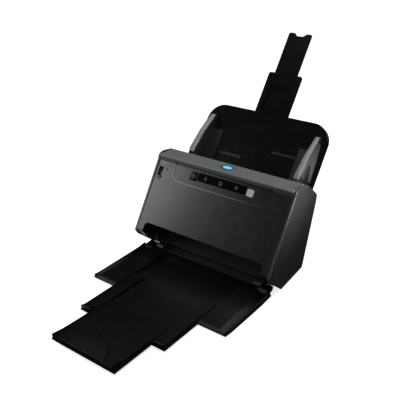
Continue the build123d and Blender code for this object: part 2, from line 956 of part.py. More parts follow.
def rack_outline(side):
    """The outline of a rack whose teeth face the pinion, for the right or left guide."""
    line = rack_pitch_lines[side]
    pitch = pi * gear_module
    tooth = pitch / 4 - gear_backlash / 2
    root_half = tooth + rack_root * tan(pressure_angle)
    crest_half = tooth - rack_tip * tan(pressure_angle)
    back = line + side * (rack_root + rack_bar)
    root = line + side * rack_root
    crest = line - side * rack_tip
    far = post_at + post_size[0] / 2
    near = -pinion_radius - guide_spread
    first = int(near / pitch)
    last = int((far - root_half) / pitch)
    points = [(near, back), (near, root)]
    for k in range(first, last + 1):
        points += [
            (k * pitch - root_half, root),
            (k * pitch - crest_half, crest),
            (k * pitch + crest_half, crest),
            (k * pitch + root_half, root),
        ]
    points += [(far, root), (far, back)]
    return [(side * x, s) for x, s in points]


def guide_rack(side):
    with BuildSketch(tray_plane(rack_level - rack_thickness)) as outline:
        Polygon(*rack_outline(side), align=None)
    extrude(outline.sketch, amount=rack_thickness)


with BuildPart() as guide_pinion:
    points = gear_outline(pinion_teeth, pi / 2 + pi / pinion_teeth)
    with BuildSketch(tray_plane(rack_level - rack_thickness)) as pinion_face:
        Polygon(*[(x, rack_centre + s) for x, s in points], align=None)
        with Locations((0, rack_centre)):
            Circle(idler_bore, mode=Mode.SUBTRACT)
    extrude(amount=rack_thickness)

# Document guides: a tall strip that rises down the tray, with a flank on its outer side

guide_inner_top = [(83.0, 7.0), (45.0, 22.0), (5.0, 32.0), (-6.0, 29.0)]
guide_outer_top = [(83.0, 9.5), (45.0, 25.0), (5.0, 36.0), (-6.0, 33.0)]
flank_inner = [(52.0, 14.0), (5.0, 31.0), (-6.0, 28.0)]
flank_outer = [(8.0, 12.0), (2.0, 28.0), (-6.0, 26.0)]


def document_guide(side):
    """Adds a document guide, its floor and the post that carries its rack."""

    strip_end = guide_face + guide_strip
    strip_sections = [
        (guide_face, guide_high, [(guide_high, 4.0), *guide_inner_top]),
        (strip_end, guide_high, [(guide_high, 6.0), *guide_outer_top]),
    ]
    flank_sections = [
        (strip_end - 0.5, 54.0, flank_inner),
        (strip_end + guide_flare, 10.0, flank_outer),
    ]
    for sections in (strip_sections, flank_sections):
        faces = []
        for x, foot_end, top in sections:
            with BuildSketch(path_view(side * x)) as section:
                Polygon((guide_low, guide_lift), (foot_end, guide_lift), *top, align=None)
            faces.append(section.sketch)
        loft(faces, ruled=True)
    rectangle_solid(
        tray_plane(guide_lift),
        (side * (guide_face - guide_reach / 2 + 1), rack_centre),
        (guide_reach + 2, 60),
        guide_floor,
    )
    rectangle_solid(
        tray_plane(rack_level),
        (side * post_at, bar_centre(side)),
        post_size,
        guide_lift - rack_level,
    )


with BuildPart() as right_guide:
    document_guide(1)
    guide_rack(1)

with BuildPart() as left_guide:
    document_guide(-1)
    guide_rack(-1)

# Feed extension, in two stages that slide in a stepped groove

extension_bottom = extension_level - extension_thickness
groove_floor = extension_bottom + section_floor - 0.6
groove_step = groove_floor + 1.2

with BuildPart() as extension_lower:
    outline_solid(
        tray_plane(extension_bottom),
        [
            (-extension_half, extension_low),
            (extension_half, extension_low),
            (extension_half, extension_high),
            (-extension_half, extension_high),
        ],
        extension_thickness,
        [1.5, 1.5, 4.0, 4.0],
    )
    groove_middle = (extension_low + extension_high) / 2
    groove_length = extension_high - extension_low - 6
    rectangle_solid(
        tray_plane(groove_floor),
        (0, groove_middle + 6),
        (2 * (tip_half + slide_gap), groove_length),
        groove_step - groove_floor,
        mode=Mode.SUBTRACT,
    )
    rectangle_solid(
        tray_plane(groove_step),
        (0, groove_middle + 6),
        (2 * (tip_half - tip_step + slide_gap), groove_length),
        extension_thickness,
        mode=Mode.SUBTRACT,
    )

tip_bottom = groove_floor + slide_gap
tip_shoulder = groove_step - slide_gap

with BuildPart() as extension_upper:
    with BuildSketch(tray_plane(tip_bottom)) as tip_shape:
        with BuildLine():
            FilletPolyline(
                (-tip_half, tip_low),
                (tip_half, tip_low),
                (tip_half, tip_high),
                (notch_top, tip_high),
                (notch_bottom, tip_high - notch_depth),
                (-notch_bottom, tip_high - notch_depth),
                (-notch_top, tip_high),
                (-tip_half, tip_high),
                radius=[1.0, 1.0, 4.0, 1.5, 1.5, 1.5, 1.5, 4.0],
                close=True,
            )
        make_face()
    extrude(amount=tip_shoulder - tip_bottom)
    with BuildSketch(tray_plane(tip_shoulder)) as tip_deck:
        with Locations((0, (tip_low + tip_high - notch_depth) / 2)):
            Rectangle(2 * (tip_half - tip_step), tip_high - notch_depth - tip_low - 2)
    extrude(amount=extension_level - slide_gap - tip_shoulder)

# Front cover: the leaning face with end walls, brow, funnel wall and two hinge legs

funnel_top = (34.0, brow_height)
funnel_end = feed_point(funnel_foot, front_level)
guide_end = feed_point(path_end, front_level)
unit_outline = [
    face_foot,
    face_head,
    (0.0, brow_height),
    funnel_top,
    funnel_end,
    guide_end,
    (front_hinge[0] + 8, front_hinge[1] - leg_boss),
    (front_hinge[0] - 6, front_hinge[1] - leg_boss),
]
unit_radii = [4.0, 1.5, 0, 1.5, 0, 2.0, 6.0, 6.0]
ceiling_rear = (-3.0, 45.5)
ceiling_knee = (-40.0, 52.0)
ceiling_front = face_point(outlet_height, face_wall)
funnel_run = hypot(funnel_end[0] - funnel_top[0], funnel_end[1] - funnel_top[1])
funnel_out = (
    (funnel_end[1] - funnel_top[1]) / funnel_run,
    -(funnel_end[0] - funnel_top[0]) / funnel_run,
)
lever_pivot = face_point(slot_centre[1], 32.0)
latch_axis = (24.0, 148.0)
latch_shaft_radius = 3.0
hook_centre = 134.9
hook_half_width = 1.7
hook_play = 0.8
latch_boss = 2.5
tab_centre = -125.5
tab_width = 11.0

with BuildPart() as front_cover:
    outline_solid(body_view(-unit_half), unit_outline, 2 * unit_half, unit_radii)
    outline_solid(
        body_view(-end_wall_inner),
        [
            (ceiling_rear[0], ceiling_rear[1] + wall),
            (ceiling_knee[0], ceiling_knee[1] + wall),
            face_point(outlet_height + wall + 1, face_wall),
            face_point(face_length - 2, face_wall),
            (face_head[0] + face_wall, brow_height - wall),
            (
                funnel_top[0] + wall * funnel_out[0] - wall * funnel_out[1] - 0.5,
                brow_height - wall,
            ),
            (funnel_end[0] + wall * funnel_out[0], funnel_end[1] + wall * funnel_out[1]),
            feed_point(funnel_foot, front_level - 8),
            feed_point(path_end - 6, front_level - 8),
            (ceiling_rear[0], ceiling_rear[1] - 4),
        ],
        2 * end_wall_inner,
        mode=Mode.SUBTRACT,
    )
    outline_solid(
        body_view(-outlet_half),
        [
            ceiling_rear,
            ceiling_knee,
            ceiling_front,
            face_point(-12, face_wall),
            (-60.0, 10.0),
            (25.0, 10.0),
            (25.0, ceiling_rear[1] - 4),
            (ceiling_rear[0], ceiling_rear[1] - 4),
        ],
        2 * outlet_half,
        mode=Mode.SUBTRACT,
    )
    rectangle_solid(
        face_plane(-2),
        (0, outlet_height / 2 - 10),
        (2 * outlet_half, outlet_height + 20),
        -face_wall - 2.6,
        corner=outlet_round,
        mode=Mode.SUBTRACT,
    )
    outline_solid(
        face_plane(recess_depth),
        [
            (-recess_half, recess_low),
            (recess_half, recess_low),
            (recess_half, face_length + 10),
            (-recess_half, face_length + 10),
        ],
        recess_depth + 1,
        [recess_corner, recess_corner, 0, 0],
        mode=Mode.SUBTRACT,
    )
    rectangle_solid(
        face_plane(-1), window_box[:2], window_box[2:], -face_wall - 2, 2.0, mode=Mode.SUBTRACT
    )
    rectangle_solid(
        face_plane(-1), slot_centre, slot_size, -face_wall - 2, slot_round, mode=Mode.SUBTRACT
    )
    for x_from, x_to in ((-unit_half, -end_wall_inner), (end_wall_inner, unit_half)):
        rod(latch_axis, latch_shaft_radius + shaft_clearance, x_from, x_to, mode=Mode.SUBTRACT)
    for x_from, x_to in both_sides(unit_half - pin_depth * 2, pin_depth * 2):
        rod(front_hinge, front_pin_radius, x_from, x_to, mode=Mode.SUBTRACT)
    for x_from, x_to in both_sides(hook_centre, hook_half_width + hook_play):
        outline_solid(
            body_view(x_from),
            [(32.0, 144.0), (56.0, 144.0), (56.0, 160.0), (32.0, 160.0)],
            x_to - x_from,
            mode=Mode.SUBTRACT,
        )
    for x_from, x_to in both_sides(end_wall_inner + wall / 2, wall / 2 + 0.1):
        outline_solid(
            body_view(x_from),
            [(41.0, 147.0), (60.0, 147.0), (60.0, 153.0), (41.0, 153.0)],
            x_to - x_from,
            mode=Mode.SUBTRACT,
        )
    outline_solid(
        body_view(tab_centre - tab_width / 2 - hook_play),
        [(30.0, 148.0), (60.0, 148.0), (60.0, brow_height - wall), (30.0, brow_height - wall)],
        tab_width + 2 * hook_play,
        mode=Mode.SUBTRACT,
    )
    rod(lever_pivot, motor_shaft_radius, -end_wall_inner, -end_wall_inner + 14)

with BuildPart() as front_hinge_pins:
    for x_from, x_to in both_sides(unit_half - pin_depth * 2, pin_depth * 2):
        reach = pin_depth - 0.4 + unit_side_gap
        rod(
            front_hinge,
            front_pin_radius,
            x_from - (reach if x_from < 0 else 0),
            x_to + (reach if x_from > 0 else 0),
        )

# Top band with its status light

light_centre = (0.0, 15.6)
light_size = (23.0, 12.0)
light_height = 1.2
light_play = 0.2

with BuildPart() as top_band:
    with BuildSketch(Plane.XY.offset(brow_height)) as band_shape:
        with Locations((0, band_depth / 2 - 1.5)):
            Rectangle(2 * unit_half, band_depth)
        with Locations(light_centre):
            Ellipse(
                light_size[0] / 2 + light_play, light_size[1] / 2 + light_play, mode=Mode.SUBTRACT
            )
    extrude(amount=band_thickness)
    band_rim = top_band.edges().group_by(Axis.Z)[-1].filter_by(GeomType.LINE)
    fillet(band_rim, 1.2)

with BuildPart() as status_light:
    with BuildSketch(Plane.XY.offset(brow_height)) as light_shape:
        with Locations(light_centre):
            Ellipse(light_size[0] / 2, light_size[1] / 2)
    extrude(amount=band_thickness + light_height)
    fillet(status_light.edges().group_by(Axis.Z)[-1], light_height)

# Control panel, key strip, keys and the board behind them


def grown(size, amount):
    return tuple(value + amount for value in size)


strip_keys = [(x, strip_key_height) for x in strip_key_centres]
panel_level = recess_depth - panel_thickness

with BuildPart() as control_panel:
    outline_solid(
        face_plane(recess_depth),
        [
            (-recess_half + panel_play, recess_low + panel_play),
            (recess_half - panel_play, recess_low + panel_play),
            (recess_half - panel_play, face_length - panel_play),
            (-recess_half + panel_play, face_length - panel_play),
        ],
        panel_thickness,
        [recess_corner, recess_corner, 0, 0],
    )
    for box in (power_key_box, start_key_box):
        hole = grown(box[2:], 2 * key_play)
        rectangle_solid(
            face_plane(0), box[:2], hole, -recess_depth, corner=2.0, mode=Mode.SUBTRACT
        )
    for centre in strip_keys:
        hole = grown(strip_key_size, 2 * key_play)
        rectangle_solid(
            face_plane(0), centre, hole, -recess_depth, corner=1.0, mode=Mode.SUBTRACT
        )

with BuildPart() as key_strip:
    rectangle_solid(face_plane(panel_level), strip_box[:2], strip_box[2:], strip_thickness, 1.0)
    for centre in strip_keys:
        hole = grown(strip_key_size, 2 * key_play)
        rectangle_solid(
            face_plane(panel_level), centre, hole, strip_thickness, 1.0, mode=Mode.SUBTRACT
        )


def key(centre, size, top, corner):
    """Adds a key: a cap through the panel, a flange behind it and a stem to its switch."""
    back = recess_depth + 0.1
    rectangle_solid(face_plane(back), centre, size, back - top, corner)
    rectangle_solid(
        face_plane(back + flange_thickness),
        centre,
        grown(size, 2 * key_flange),
        flange_thickness,
        corner,
    )
    stem_end = board_depth - switch_height - key_travel - 0.15
    rectangle_solid(face_plane(stem_end), centre, (3, 3), stem_end - back)


with BuildPart() as power_button:
    key(power_key_box[:2], power_key_box[2:], panel_level - key_proud, 2.0)

with BuildPart() as start_button:
    key(start_key_box[:2], start_key_box[2:], panel_level - key_proud - 0.4, 2.0)

function_keys = []
for centre in strip_keys:
    with BuildPart() as function_key:
        key(centre, strip_key_size, panel_level - strip_thickness, 1.0)
    function_keys.append(function_key.part)

board_posts_at = [
    (window_box[0] + i * (window_box[2] / 2 + 4.5), window_box[1] + j * 7)
    for i in (-1, 1)
    for j in (-1, 1)
]

with BuildPart() as panel_board:
    rectangle_solid(
        face_plane(board_depth), window_box[:2], panel_board_size, -board_thickness, 2.0
    )
    for centre in [power_key_box[:2], start_key_box[:2], *strip_keys]:
        rectangle_solid(face_plane(board_depth), centre, (6, 6), switch_height)
    for centre in board_posts_at:
        with BuildSketch(face_plane(board_depth)) as spacer:
            with Locations(centre):
                Circle(2.5)
        extrude(amount=board_depth - face_wall)

# Front paper guide with the bearings of the pinch rollers and the separation roller

gear_window = (gear_inner - gear_room, gear_outer + gear_room)


def journal_lugs(s, n, x_inner, radius):
    """Adds a pair of lugs at each side of the middle that hold a shaft along X."""
    for x_from, x_to in both_sides(x_inner + lug_thickness / 2, lug_thickness / 2):
        rectangle_solid(
            tray_plane(front_level + guide_thickness),
            ((x_from + x_to) / 2, s),
            (lug_thickness, 2 * radius + 5),
            n + radius + 2 - front_level - guide_thickness,
        )
        rod(feed_point(s, n), radius + shaft_clearance, x_from, x_to, mode=Mode.SUBTRACT)


pinch_lug = tyre_centre + tyre_width / 2 + roller_room + 1
holder_inner = feed_half_width + 4.0

with BuildPart() as front_guide:
    rectangle_solid(
        tray_plane(front_level),
        (0, (funnel_foot - guide_seam + path_end) / 2),
        (2 * end_wall_inner, funnel_foot - guide_seam - path_end),
        guide_thickness,
    )
    guide_windows(front_level - 1, guide_thickness + 2)
    for side in (-1, 1):
        rectangle_solid(
            tray_plane(front_level - 1),
            (side * sum(gear_window) / 2, (funnel_foot + path_end) / 2 - 6),
            (gear_window[1] - gear_window[0], funnel_foot - path_end),
            guide_thickness + 2,
            mode=Mode.SUBTRACT,
        )
    journal_lugs(transport_at, pinch_n, pinch_lug, pinch_shaft_radius)
    journal_lugs(exit_at, pinch_n, pinch_lug, pinch_shaft_radius)


def pinch_roller(s):
    """Adds a pair of rollers moulded on one thin shaft."""
    place = feed_point(s, pinch_n)
    end = pinch_lug + lug_thickness + 1
    rod(place, pinch_shaft_radius, -end, end)
    for x_from, x_to in both_sides(tyre_centre, tyre_width / 2):
        rod(place, pinch_radius, x_from, x_to)


with BuildPart() as upper_pinch_roller:
    pinch_roller(transport_at)

with BuildPart() as lower_pinch_roller:
    pinch_roller(exit_at)

separation_place = feed_point(feed_at, separation_n)
holder_base = front_level + guide_thickness

with BuildPart() as separation_holder:
    for x_from, x_to in both_sides(holder_inner + 1, 1):
        rectangle_solid(
            tray_plane(holder_base),
            ((x_from + x_to) / 2, feed_at),
            (2, 2 * separation_radius),
            separation_n + separation_radius + 1.5 - holder_base,
        )
    rectangle_solid(
        tray_plane(separation_n + separation_radius + 1.5),
        (0, feed_at),
        (2 * holder_inner + 4, 2 * separation_radius),
        2.0,
    )
    rod(separation_place, drive_shaft_radius, -holder_inner - 3, holder_inner + 3)

with BuildPart() as separation_roller:
    rod(separation_place, separation_radius, -feed_half_width, feed_half_width)
    rod(
        separation_place,
        drive_shaft_radius + shaft_clearance,
        -feed_half_width,
        feed_half_width,
        mode=Mode.SUBTRACT,
    )

# Feed selection lever: a knob on a curved shield that closes its slot, on a peg

lever_swing = 29.0
shield_outer = 28.2
shield_inner = 26.4
knob_reach = 34.6
lever_half = 5.6
knob_half = 3.9
lever_start = -lever_swing / 2
lever_boss = 4.5
lever_spread = 5.0
shield_below = 22.0
shield_above = 40.0
peg_clearance = 0.05
face_out = 90.0 + face_angle


def lever_point(radius, angle):
    """A side view place at a radius from the lever's pivot and an angle up from its middle."""
    turn = radians(face_out - angle)
    return (lever_pivot[0] + radius * cos(turn), lever_pivot[1] + radius * sin(turn))


def lever_sector(radius_in, radius_out, angle_from, angle_to, x_from, x_to):
    """Adds a sector of a ring round the lever's pivot."""
    middle = (angle_from + angle_to) / 2
    with BuildSketch(body_view(x_from)) as sector:
        with BuildLine():
            ThreePointArc(
                lever_point(radius_out, angle_from),
                lever_point(radius_out, middle),
                lever_point(radius_out, angle_to),
            )
            Line(lever_point(radius_out, angle_to), lever_point(radius_in, angle_to))
            ThreePointArc(
                lever_point(radius_in, angle_to),
                lever_point(radius_in, middle),
                lever_point(radius_in, angle_from),
            )
            Line(lever_point(radius_in, angle_from), lever_point(radius_out, angle_from))
        make_face()
    extrude(sector.sketch, amount=x_to - x_from)


with BuildPart() as feed_lever:
    middle = slot_centre[0]
    rod(lever_pivot, lever_boss, middle - lever_half, middle + lever_half)
    lever_sector(
        shield_inner,
        shield_outer,
        lever_start - shield_below,
        lever_start + shield_above,
        middle - lever_half,
        middle + lever_half,
    )
    lever_sector(
        3.0,
        shield_inner + 0.5,
        lever_start - lever_spread,
        lever_start + lever_spread,
        middle - 2,
        middle + 2,
    )
    lever_sector(
        shield_outer - 0.5,
        knob_reach,
        lever_start - lever_spread,
        lever_start + lever_spread,
        middle - knob_half,
        middle + knob_half,
    )
    rod(
        lever_pivot,
        motor_shaft_radius + peg_clearance,
        middle - lever_half,
        middle + lever_half,
        mode=Mode.SUBTRACT,
    )

# Open lever: a shaft with a finger tab and a hook that stands over each striker pin

with BuildPart() as open_lever:
    rod(latch_axis, latch_shaft_radius, -unit_half, unit_half)
    for x_from, x_to in both_sides(hook_centre, hook_half_width):
        rod(latch_axis, latch_shaft_radius + latch_boss, x_from, x_to)
        outline_solid(
            body_view(x_from),
            [
                (latch_axis[0] - 3, latch_axis[1] + 4),
                (latch_axis[0] + 4, latch_axis[1] - 3),
                (46.0, 152.5),
                (54.0, 152.6),
                (54.5, 156.2),
                (44.0, 157.0),
            ],
            x_to - x_from,
            [1, 1, 1, 1, 1, 3],
        )
    outline_solid(
        body_view(tab_centre - tab_width / 2),
        [
            (latch_axis[0] - 2, latch_axis[1] + 3),
            (latch_axis[0] + 2, latch_axis[1] - 3),
            (38.0, 154.0),
            (47.0, 162.0),
            (45.0, 164.5),
            (36.0, 158.5),
        ],
        tab_width,
        [1, 1, 4, 1, 1, 4],
    )
    tab_ends = (tab_centre - tab_width / 2, tab_centre + tab_width / 2)
    rod(latch_axis, latch_shaft_radius + latch_boss, *tab_ends)

# Eject tray: raised wings round a channel for the next section, with hinge knuckles

eject_floor_top = eject_clear + eject_skin
knuckle_inner = arm_inner + arm_width + 0.5
wing_top = [
    (eject_front, 5.0),
    (eject_front + 5, wing_height - 0.6),
    (-150.0, wing_height),
    (-100.0, wing_height),
    (-72.0, wing_height + 0.6),
    (eject_rear, wing_height + 2.8),
]
tray_under = [
    (eject_rear, 3.4),
    (-78.0, 1.2),
    (-104.0, eject_clear),
    (-172.0, eject_clear),
    (eject_front, 2.2),
]
flange_room = section_floor + 2 * slide_gap

with BuildPart() as eject_tray:
    outline_solid(body_view(-eject_half), [*wing_top, *tray_under], 2 * eject_half)
    for side in (-1, 1):
        wing_bevel = Plane(
            origin=(side * wing_crease, 0, wing_height + 0.1),
            z_dir=(side * (wing_height - rim_height), 0, eject_half - wing_crease),
        )
        split(bisect_by=wing_bevel, keep=Keep.BOTTOM)
    outline_solid(
        body_view(-channel_half),
        [
            (eject_front - 1, eject_floor_top),
            (-172.0, eject_floor_top),
            (channel_rear, eject_floor_top),
            (channel_rear, eject_floor_top + flange_room),
            (eject_front - 1, eject_floor_top + flange_room),
        ],
        2 * channel_half,
        mode=Mode.SUBTRACT,
    )
    outline_solid(
        body_view(-channel_half + lip_reach),
        [
            (eject_front - 1, eject_floor_top),
            (channel_rear, eject_floor_top),
            (channel_rear, 30.0),
            (eject_front - 1, 30.0),
        ],
        2 * (channel_half - lip_reach),
        mode=Mode.SUBTRACT,
    )
    for side in (-1, 1):
        x_from = knuckle_inner if side > 0 else -knuckle_inner - knuckle_width
        outline_solid(
            body_view(x_from),
            [
                (eject_rear - 2, 3.4),
                (eject_hinge[0], eject_hinge[1] - arm_eye),
                (eject_hinge[0], eject_hinge[1] + arm_eye),
                (eject_rear - 2, eject_hinge[1] + arm_eye - 1.5),
                (eject_rear - 8, wing_height),
            ],
            knuckle_width,
        )
        rod(eject_hinge, arm_eye, x_from, x_from + knuckle_width)
        rod(
            eject_hinge,
            eject_pin_radius + shaft_clearance,
            x_from,
            x_from + knuckle_width,
            mode=Mode.SUBTRACT,
        )

with BuildPart() as eject_hinge_pins:
    for side in (-1, 1):
        x_ends = sorted((side * arm_inner, side * (knuckle_inner + knuckle_width - 1)))
        rod(eject_hinge, eject_pin_radius, *x_ends)

# Middle section: a flanged floor with a raised deck round the channel of the front section

middle_half = channel_half - slide_gap
middle_bottom = eject_floor_top + slide_gap
middle_floor_top = middle_bottom + section_floor
deck_top = middle_bottom + section_floor + deck_height
deck_half = channel_half - lip_reach - slide_gap
wall_top = deck_top + 2.4
front_channel = front_half + slide_gap
front_bottom = middle_floor_top + slide_gap
front_flange_top = front_bottom + section_floor - 0.2

with BuildPart() as middle_tray:
    outline_solid(
        body_view(-middle_half),
        [
            (middle_front, middle_bottom),
            (middle_rear, middle_bottom),
            (middle_rear, middle_floor_top),
            (middle_front, middle_floor_top),
        ],
        2 * middle_half,
    )
    outline_solid(
        body_view(-deck_half),
        [
            (middle_front, middle_bottom),
            (middle_rear, middle_bottom),
            (middle_rear, deck_top),
            (middle_front, deck_top),
        ],
        2 * deck_half,
    )
    for x_from, x_to in both_sides(deck_half - section_wall / 2, section_wall / 2):
        outline_solid(
            body_view(x_from),
            [
                (middle_front, middle_floor_top),
                (middle_rear, middle_floor_top),
                (middle_rear, wall_top),
                (middle_front + 8, wall_top),
                (middle_front, wall_top + 2.2),
            ],
            x_to - x_from,
        )
    outline_solid(
        body_view(-front_channel),
        [
            (middle_front - 1, middle_floor_top),
            (middle_rear + 1, middle_floor_top),
            (middle_rear + 1, front_flange_top + slide_gap),
            (middle_front - 1, front_flange_top + slide_gap),
        ],
        2 * front_channel,
        mode=Mode.SUBTRACT,
    )
    outline_solid(
        body_view(-front_channel + lip_reach),
        [
            (middle_front - 1, middle_floor_top),
            (middle_rear + 1, middle_floor_top),
            (middle_rear + 1, 30.0),
            (middle_front - 1, 30.0),
        ],
        2 * (front_channel - lip_reach),
        mode=Mode.SUBTRACT,
    )

# Front section: a floor that climbs to its front edge, with a pocket for the stopper

front_wall_outer = front_channel - lip_reach - slide_gap
front_rise = 5.2
front_wall_top = front_flange_top + 5.0
pocket_depth = stopper_thickness + 0.6
stopper_axis = (front_front + 3.2, front_flange_top + front_rise - 1.4)

with BuildPart() as front_tray:
    outline_solid(
        body_view(-front_half),
        [
            (front_front, front_bottom),
            (front_rear, front_bottom),
            (front_rear, front_flange_top),
            (front_front, front_flange_top),
        ],
        2 * front_half,
    )
    outline_solid(
        body_view(-front_wall_outer),
        [
            (front_front, front_bottom),
            (front_rear, front_bottom),
            (front_rear, front_flange_top),
            (front_front, front_flange_top + front_rise),
        ],
        2 * front_wall_outer,
    )
    for x_from, x_to in both_sides(front_wall_outer - section_wall / 2, section_wall / 2):
        outline_solid(
            body_view(x_from),
            [
                (front_front, front_bottom),
                (front_rear, front_bottom),
                (front_rear, front_flange_top + 3),
                (front_front + 20, front_wall_top + 2),
                (front_front, front_wall_top + 5),
            ],
            x_to - x_from,
        )
    with BuildSketch(Plane.XY.offset(stopper_axis[1] - pocket_depth + 0.9)) as stopper_pocket:
        with Locations((0, stopper_axis[0])):
            Circle(stopper_half + 1.2)
            Rectangle(
                3 * stopper_half, 2 * stopper_half + 10, align=(Align.CENTER, Align.MAX), mode=Mode.SUBTRACT
            )
            Rectangle(2 * stopper_half + 2.4, 3.8, align=(Align.CENTER, Align.MAX))
            with Locations((0, stopper_reach + 1.2)):
                Rectangle(
                    3 * stopper_half, 2 * stopper_half, align=(Align.CENTER, Align.MIN), mode=Mode.SUBTRACT
                )
    extrude(amount=20, mode=Mode.SUBTRACT)
    for x_from, x_to in both_sides(stopper_half + 3.2, stopper_ear / 2):
        outline_solid(
            body_view(x_from),
            [
                (stopper_axis[0] - 2, front_flange_top),
                (stopper_axis[0] + 2, front_flange_top),
                (stopper_axis[0] + 2, stopper_axis[1] + 1.6),
                (stopper_axis[0] - 2, stopper_axis[1] + 1.6),
            ],
            x_to - x_from,
        )
    for x_from, x_to in both_sides(stopper_half + 3.2, stopper_ear / 2 + 0.6):
        rod(stopper_axis, stopper_pin + shaft_clearance, x_from, x_to, mode=Mode.SUBTRACT)

with BuildPart() as stopper_flap:
    with BuildSketch(Plane.XY.offset(stopper_axis[1] - stopper_thickness / 2)) as flap_shape:
        with Locations((0, stopper_axis[0])):
            Circle(stopper_half)
            Rectangle(
                3 * stopper_half, 3 * stopper_half, align=(Align.CENTER, Align.MAX), mode=Mode.SUBTRACT
            )
            with Locations((0, stopper_reach)):
                Rectangle(
                    3 * stopper_half, 2 * stopper_half, align=(Align.CENTER, Align.MIN), mode=Mode.SUBTRACT
                )
    extrude(amount=stopper_thickness)
    rod(stopper_axis, stopper_barrel, -stopper_half, stopper_half)
    rod(stopper_axis, stopper_pin, -stopper_half - stopper_ear - 1, stopper_half + stopper_ear + 1)

# Every piece by its name, moved so that the origin is under the middle of the whole scanner

pieces = {
    "left_side_cover": left_side_cover.part,
    "right_side_cover": right_side_cover.part,
    "rear_cover": rear_cover.part,
    "bottom_plate": bottom_plate.part,
    "rubber_feet": rubber_feet.part,
    "left_frame": left_frame.part,
    "right_frame": right_frame.part,
    "roller_bearings": roller_bearings.part,
    "rear_guide": rear_guide.part,
    "rear_scan_unit": rear_scan_unit.part,
    "rear_scan_glass": rear_scan_glass.part,
    "main_board": main_board.part,
    "rear_ports": rear_ports.part,
    "drive_motor": drive_motor.part,
    "motor_pinion": motor_pinion.part,
    "lower_idler": lower_idler.part,
    "middle_idler": middle_idler.part,
    "upper_idler": upper_idler.part,
    "feed_shaft": feed_shaft.part,
    "feed_tyre": feed_tyre.part,
    "feed_gear": feed_gear.part,
    "transport_shaft": transport_shaft.part,
    "transport_tyres": transport_tyres.part,
    "transport_gear": transport_gear.part,
    "exit_shaft": exit_shaft.part,
    "exit_tyres": exit_tyres.part,
    "exit_gear": exit_gear.part,
    "feed_tray": feed_tray.part,
    "feed_tray_back": feed_tray_back.part,
    "left_guide": left_guide.part,
    "right_guide": right_guide.part,
    "guide_pinion": guide_pinion.part,
    "extension_lower": extension_lower.part,
    "extension_upper": extension_upper.part,
    "front_cover": front_cover.part,
    "front_hinge_pins": front_hinge_pins.part,
    "top_band": top_band.part,
    "status_light": status_light.part,
    "control_panel": control_panel.part,
    "key_strip": key_strip.part,
    "panel_board": panel_board.part,
    "power_button": power_button.part,
    "start_button": start_button.part,
    "front_guide": front_guide.part,
    "front_scan_unit": front_scan_unit.part,
    "front_scan_glass": front_scan_glass.part,
    "upper_pinch_roller": upper_pinch_roller.part,
    "lower_pinch_roller": lower_pinch_roller.part,
    "separation_holder": separation_holder.part,
    "separation_roller": separation_roller.part,
    "feed_lever": feed_lever.part,
    "open_lever": open_lever.part,
    "eject_tray": eject_tray.part,
    "eject_hinge_pins": eject_hinge_pins.part,
    "middle_tray": middle_tray.part,
    "front_tray": front_tray.part,
    "stopper_flap": stopper_flap.part,
}
for number, piece in enumerate(function_keys, start=1):
    pieces[f"function_key_{number}"] = piece

os.makedirs("parts", exist_ok=True)
low = Vector(
    min(piece.bounding_box().min.X for piece in pieces.values()),
    min(piece.bounding_box().min.Y for piece in pieces.values()),
    min(piece.bounding_box().min.Z for piece in pieces.values()),
)
high_x = max(piece.bounding_box().max.X for piece in pieces.values())
high_y = max(piece.bounding_box().max.Y for piece in pieces.values())
shift = Vector(-(low.X + high_x) / 2, -(low.Y + high_y) / 2, -low.Z)
print("shift", tuple(round(value, 6) for value in shift))
for name, piece in pieces.items():
    placed = piece.moved(Location(shift))
    placed.label = name
    export_step(placed, f"parts/{name}.step")
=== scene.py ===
"""Document scanner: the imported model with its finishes, small parts, studio and camera."""
import json
import math

import bmesh
import bpy
from mathutils import Matrix, Vector


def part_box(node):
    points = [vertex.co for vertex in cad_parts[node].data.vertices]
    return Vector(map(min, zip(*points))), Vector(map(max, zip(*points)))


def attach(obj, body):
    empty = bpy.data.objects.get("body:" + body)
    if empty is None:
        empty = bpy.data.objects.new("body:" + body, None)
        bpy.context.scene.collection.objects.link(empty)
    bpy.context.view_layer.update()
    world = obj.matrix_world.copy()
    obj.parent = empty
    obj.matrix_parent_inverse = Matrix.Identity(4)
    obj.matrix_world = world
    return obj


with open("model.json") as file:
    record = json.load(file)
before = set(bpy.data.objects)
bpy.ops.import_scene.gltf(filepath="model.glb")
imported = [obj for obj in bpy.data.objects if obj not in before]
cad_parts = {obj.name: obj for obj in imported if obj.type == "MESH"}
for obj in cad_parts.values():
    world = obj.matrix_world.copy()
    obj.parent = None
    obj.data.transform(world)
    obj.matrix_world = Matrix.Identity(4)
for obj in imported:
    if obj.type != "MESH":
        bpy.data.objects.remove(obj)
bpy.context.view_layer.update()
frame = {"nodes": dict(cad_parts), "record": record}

MM = 0.001


# Nodes of a material. Noise scales are per metre, bump distances in metres.

DRIFT_SCALE = 18
SMEAR_SCALE = 60
WAVE_SCALE, WAVE_DEPTH = 35, 0.00002
GRAIN_SCALE = 1400
LINE_STRETCH = (400, 30, 30)
LINE_SCALE, LINE_DEPTH, LINE_GLOSS = 8, 0.00002, 0.07
PORE_SCALE, PORE_DEPTH = 900, 0.0001


def new_material(name):
    """A cleared node material, with its tree, shader and object coordinates."""
    made = bpy.data.materials.new(name)
    made.use_nodes = True
    tree = made.node_tree
    tree.nodes.clear()
    output = tree.nodes.new("ShaderNodeOutputMaterial")
    shader = tree.nodes.new("ShaderNodeBsdfPrincipled")
    tree.links.new(shader.outputs["BSDF"], output.inputs["Surface"])
    place = tree.nodes.new("ShaderNodeTexCoord")
    return made, tree, shader, place.outputs["Object"]


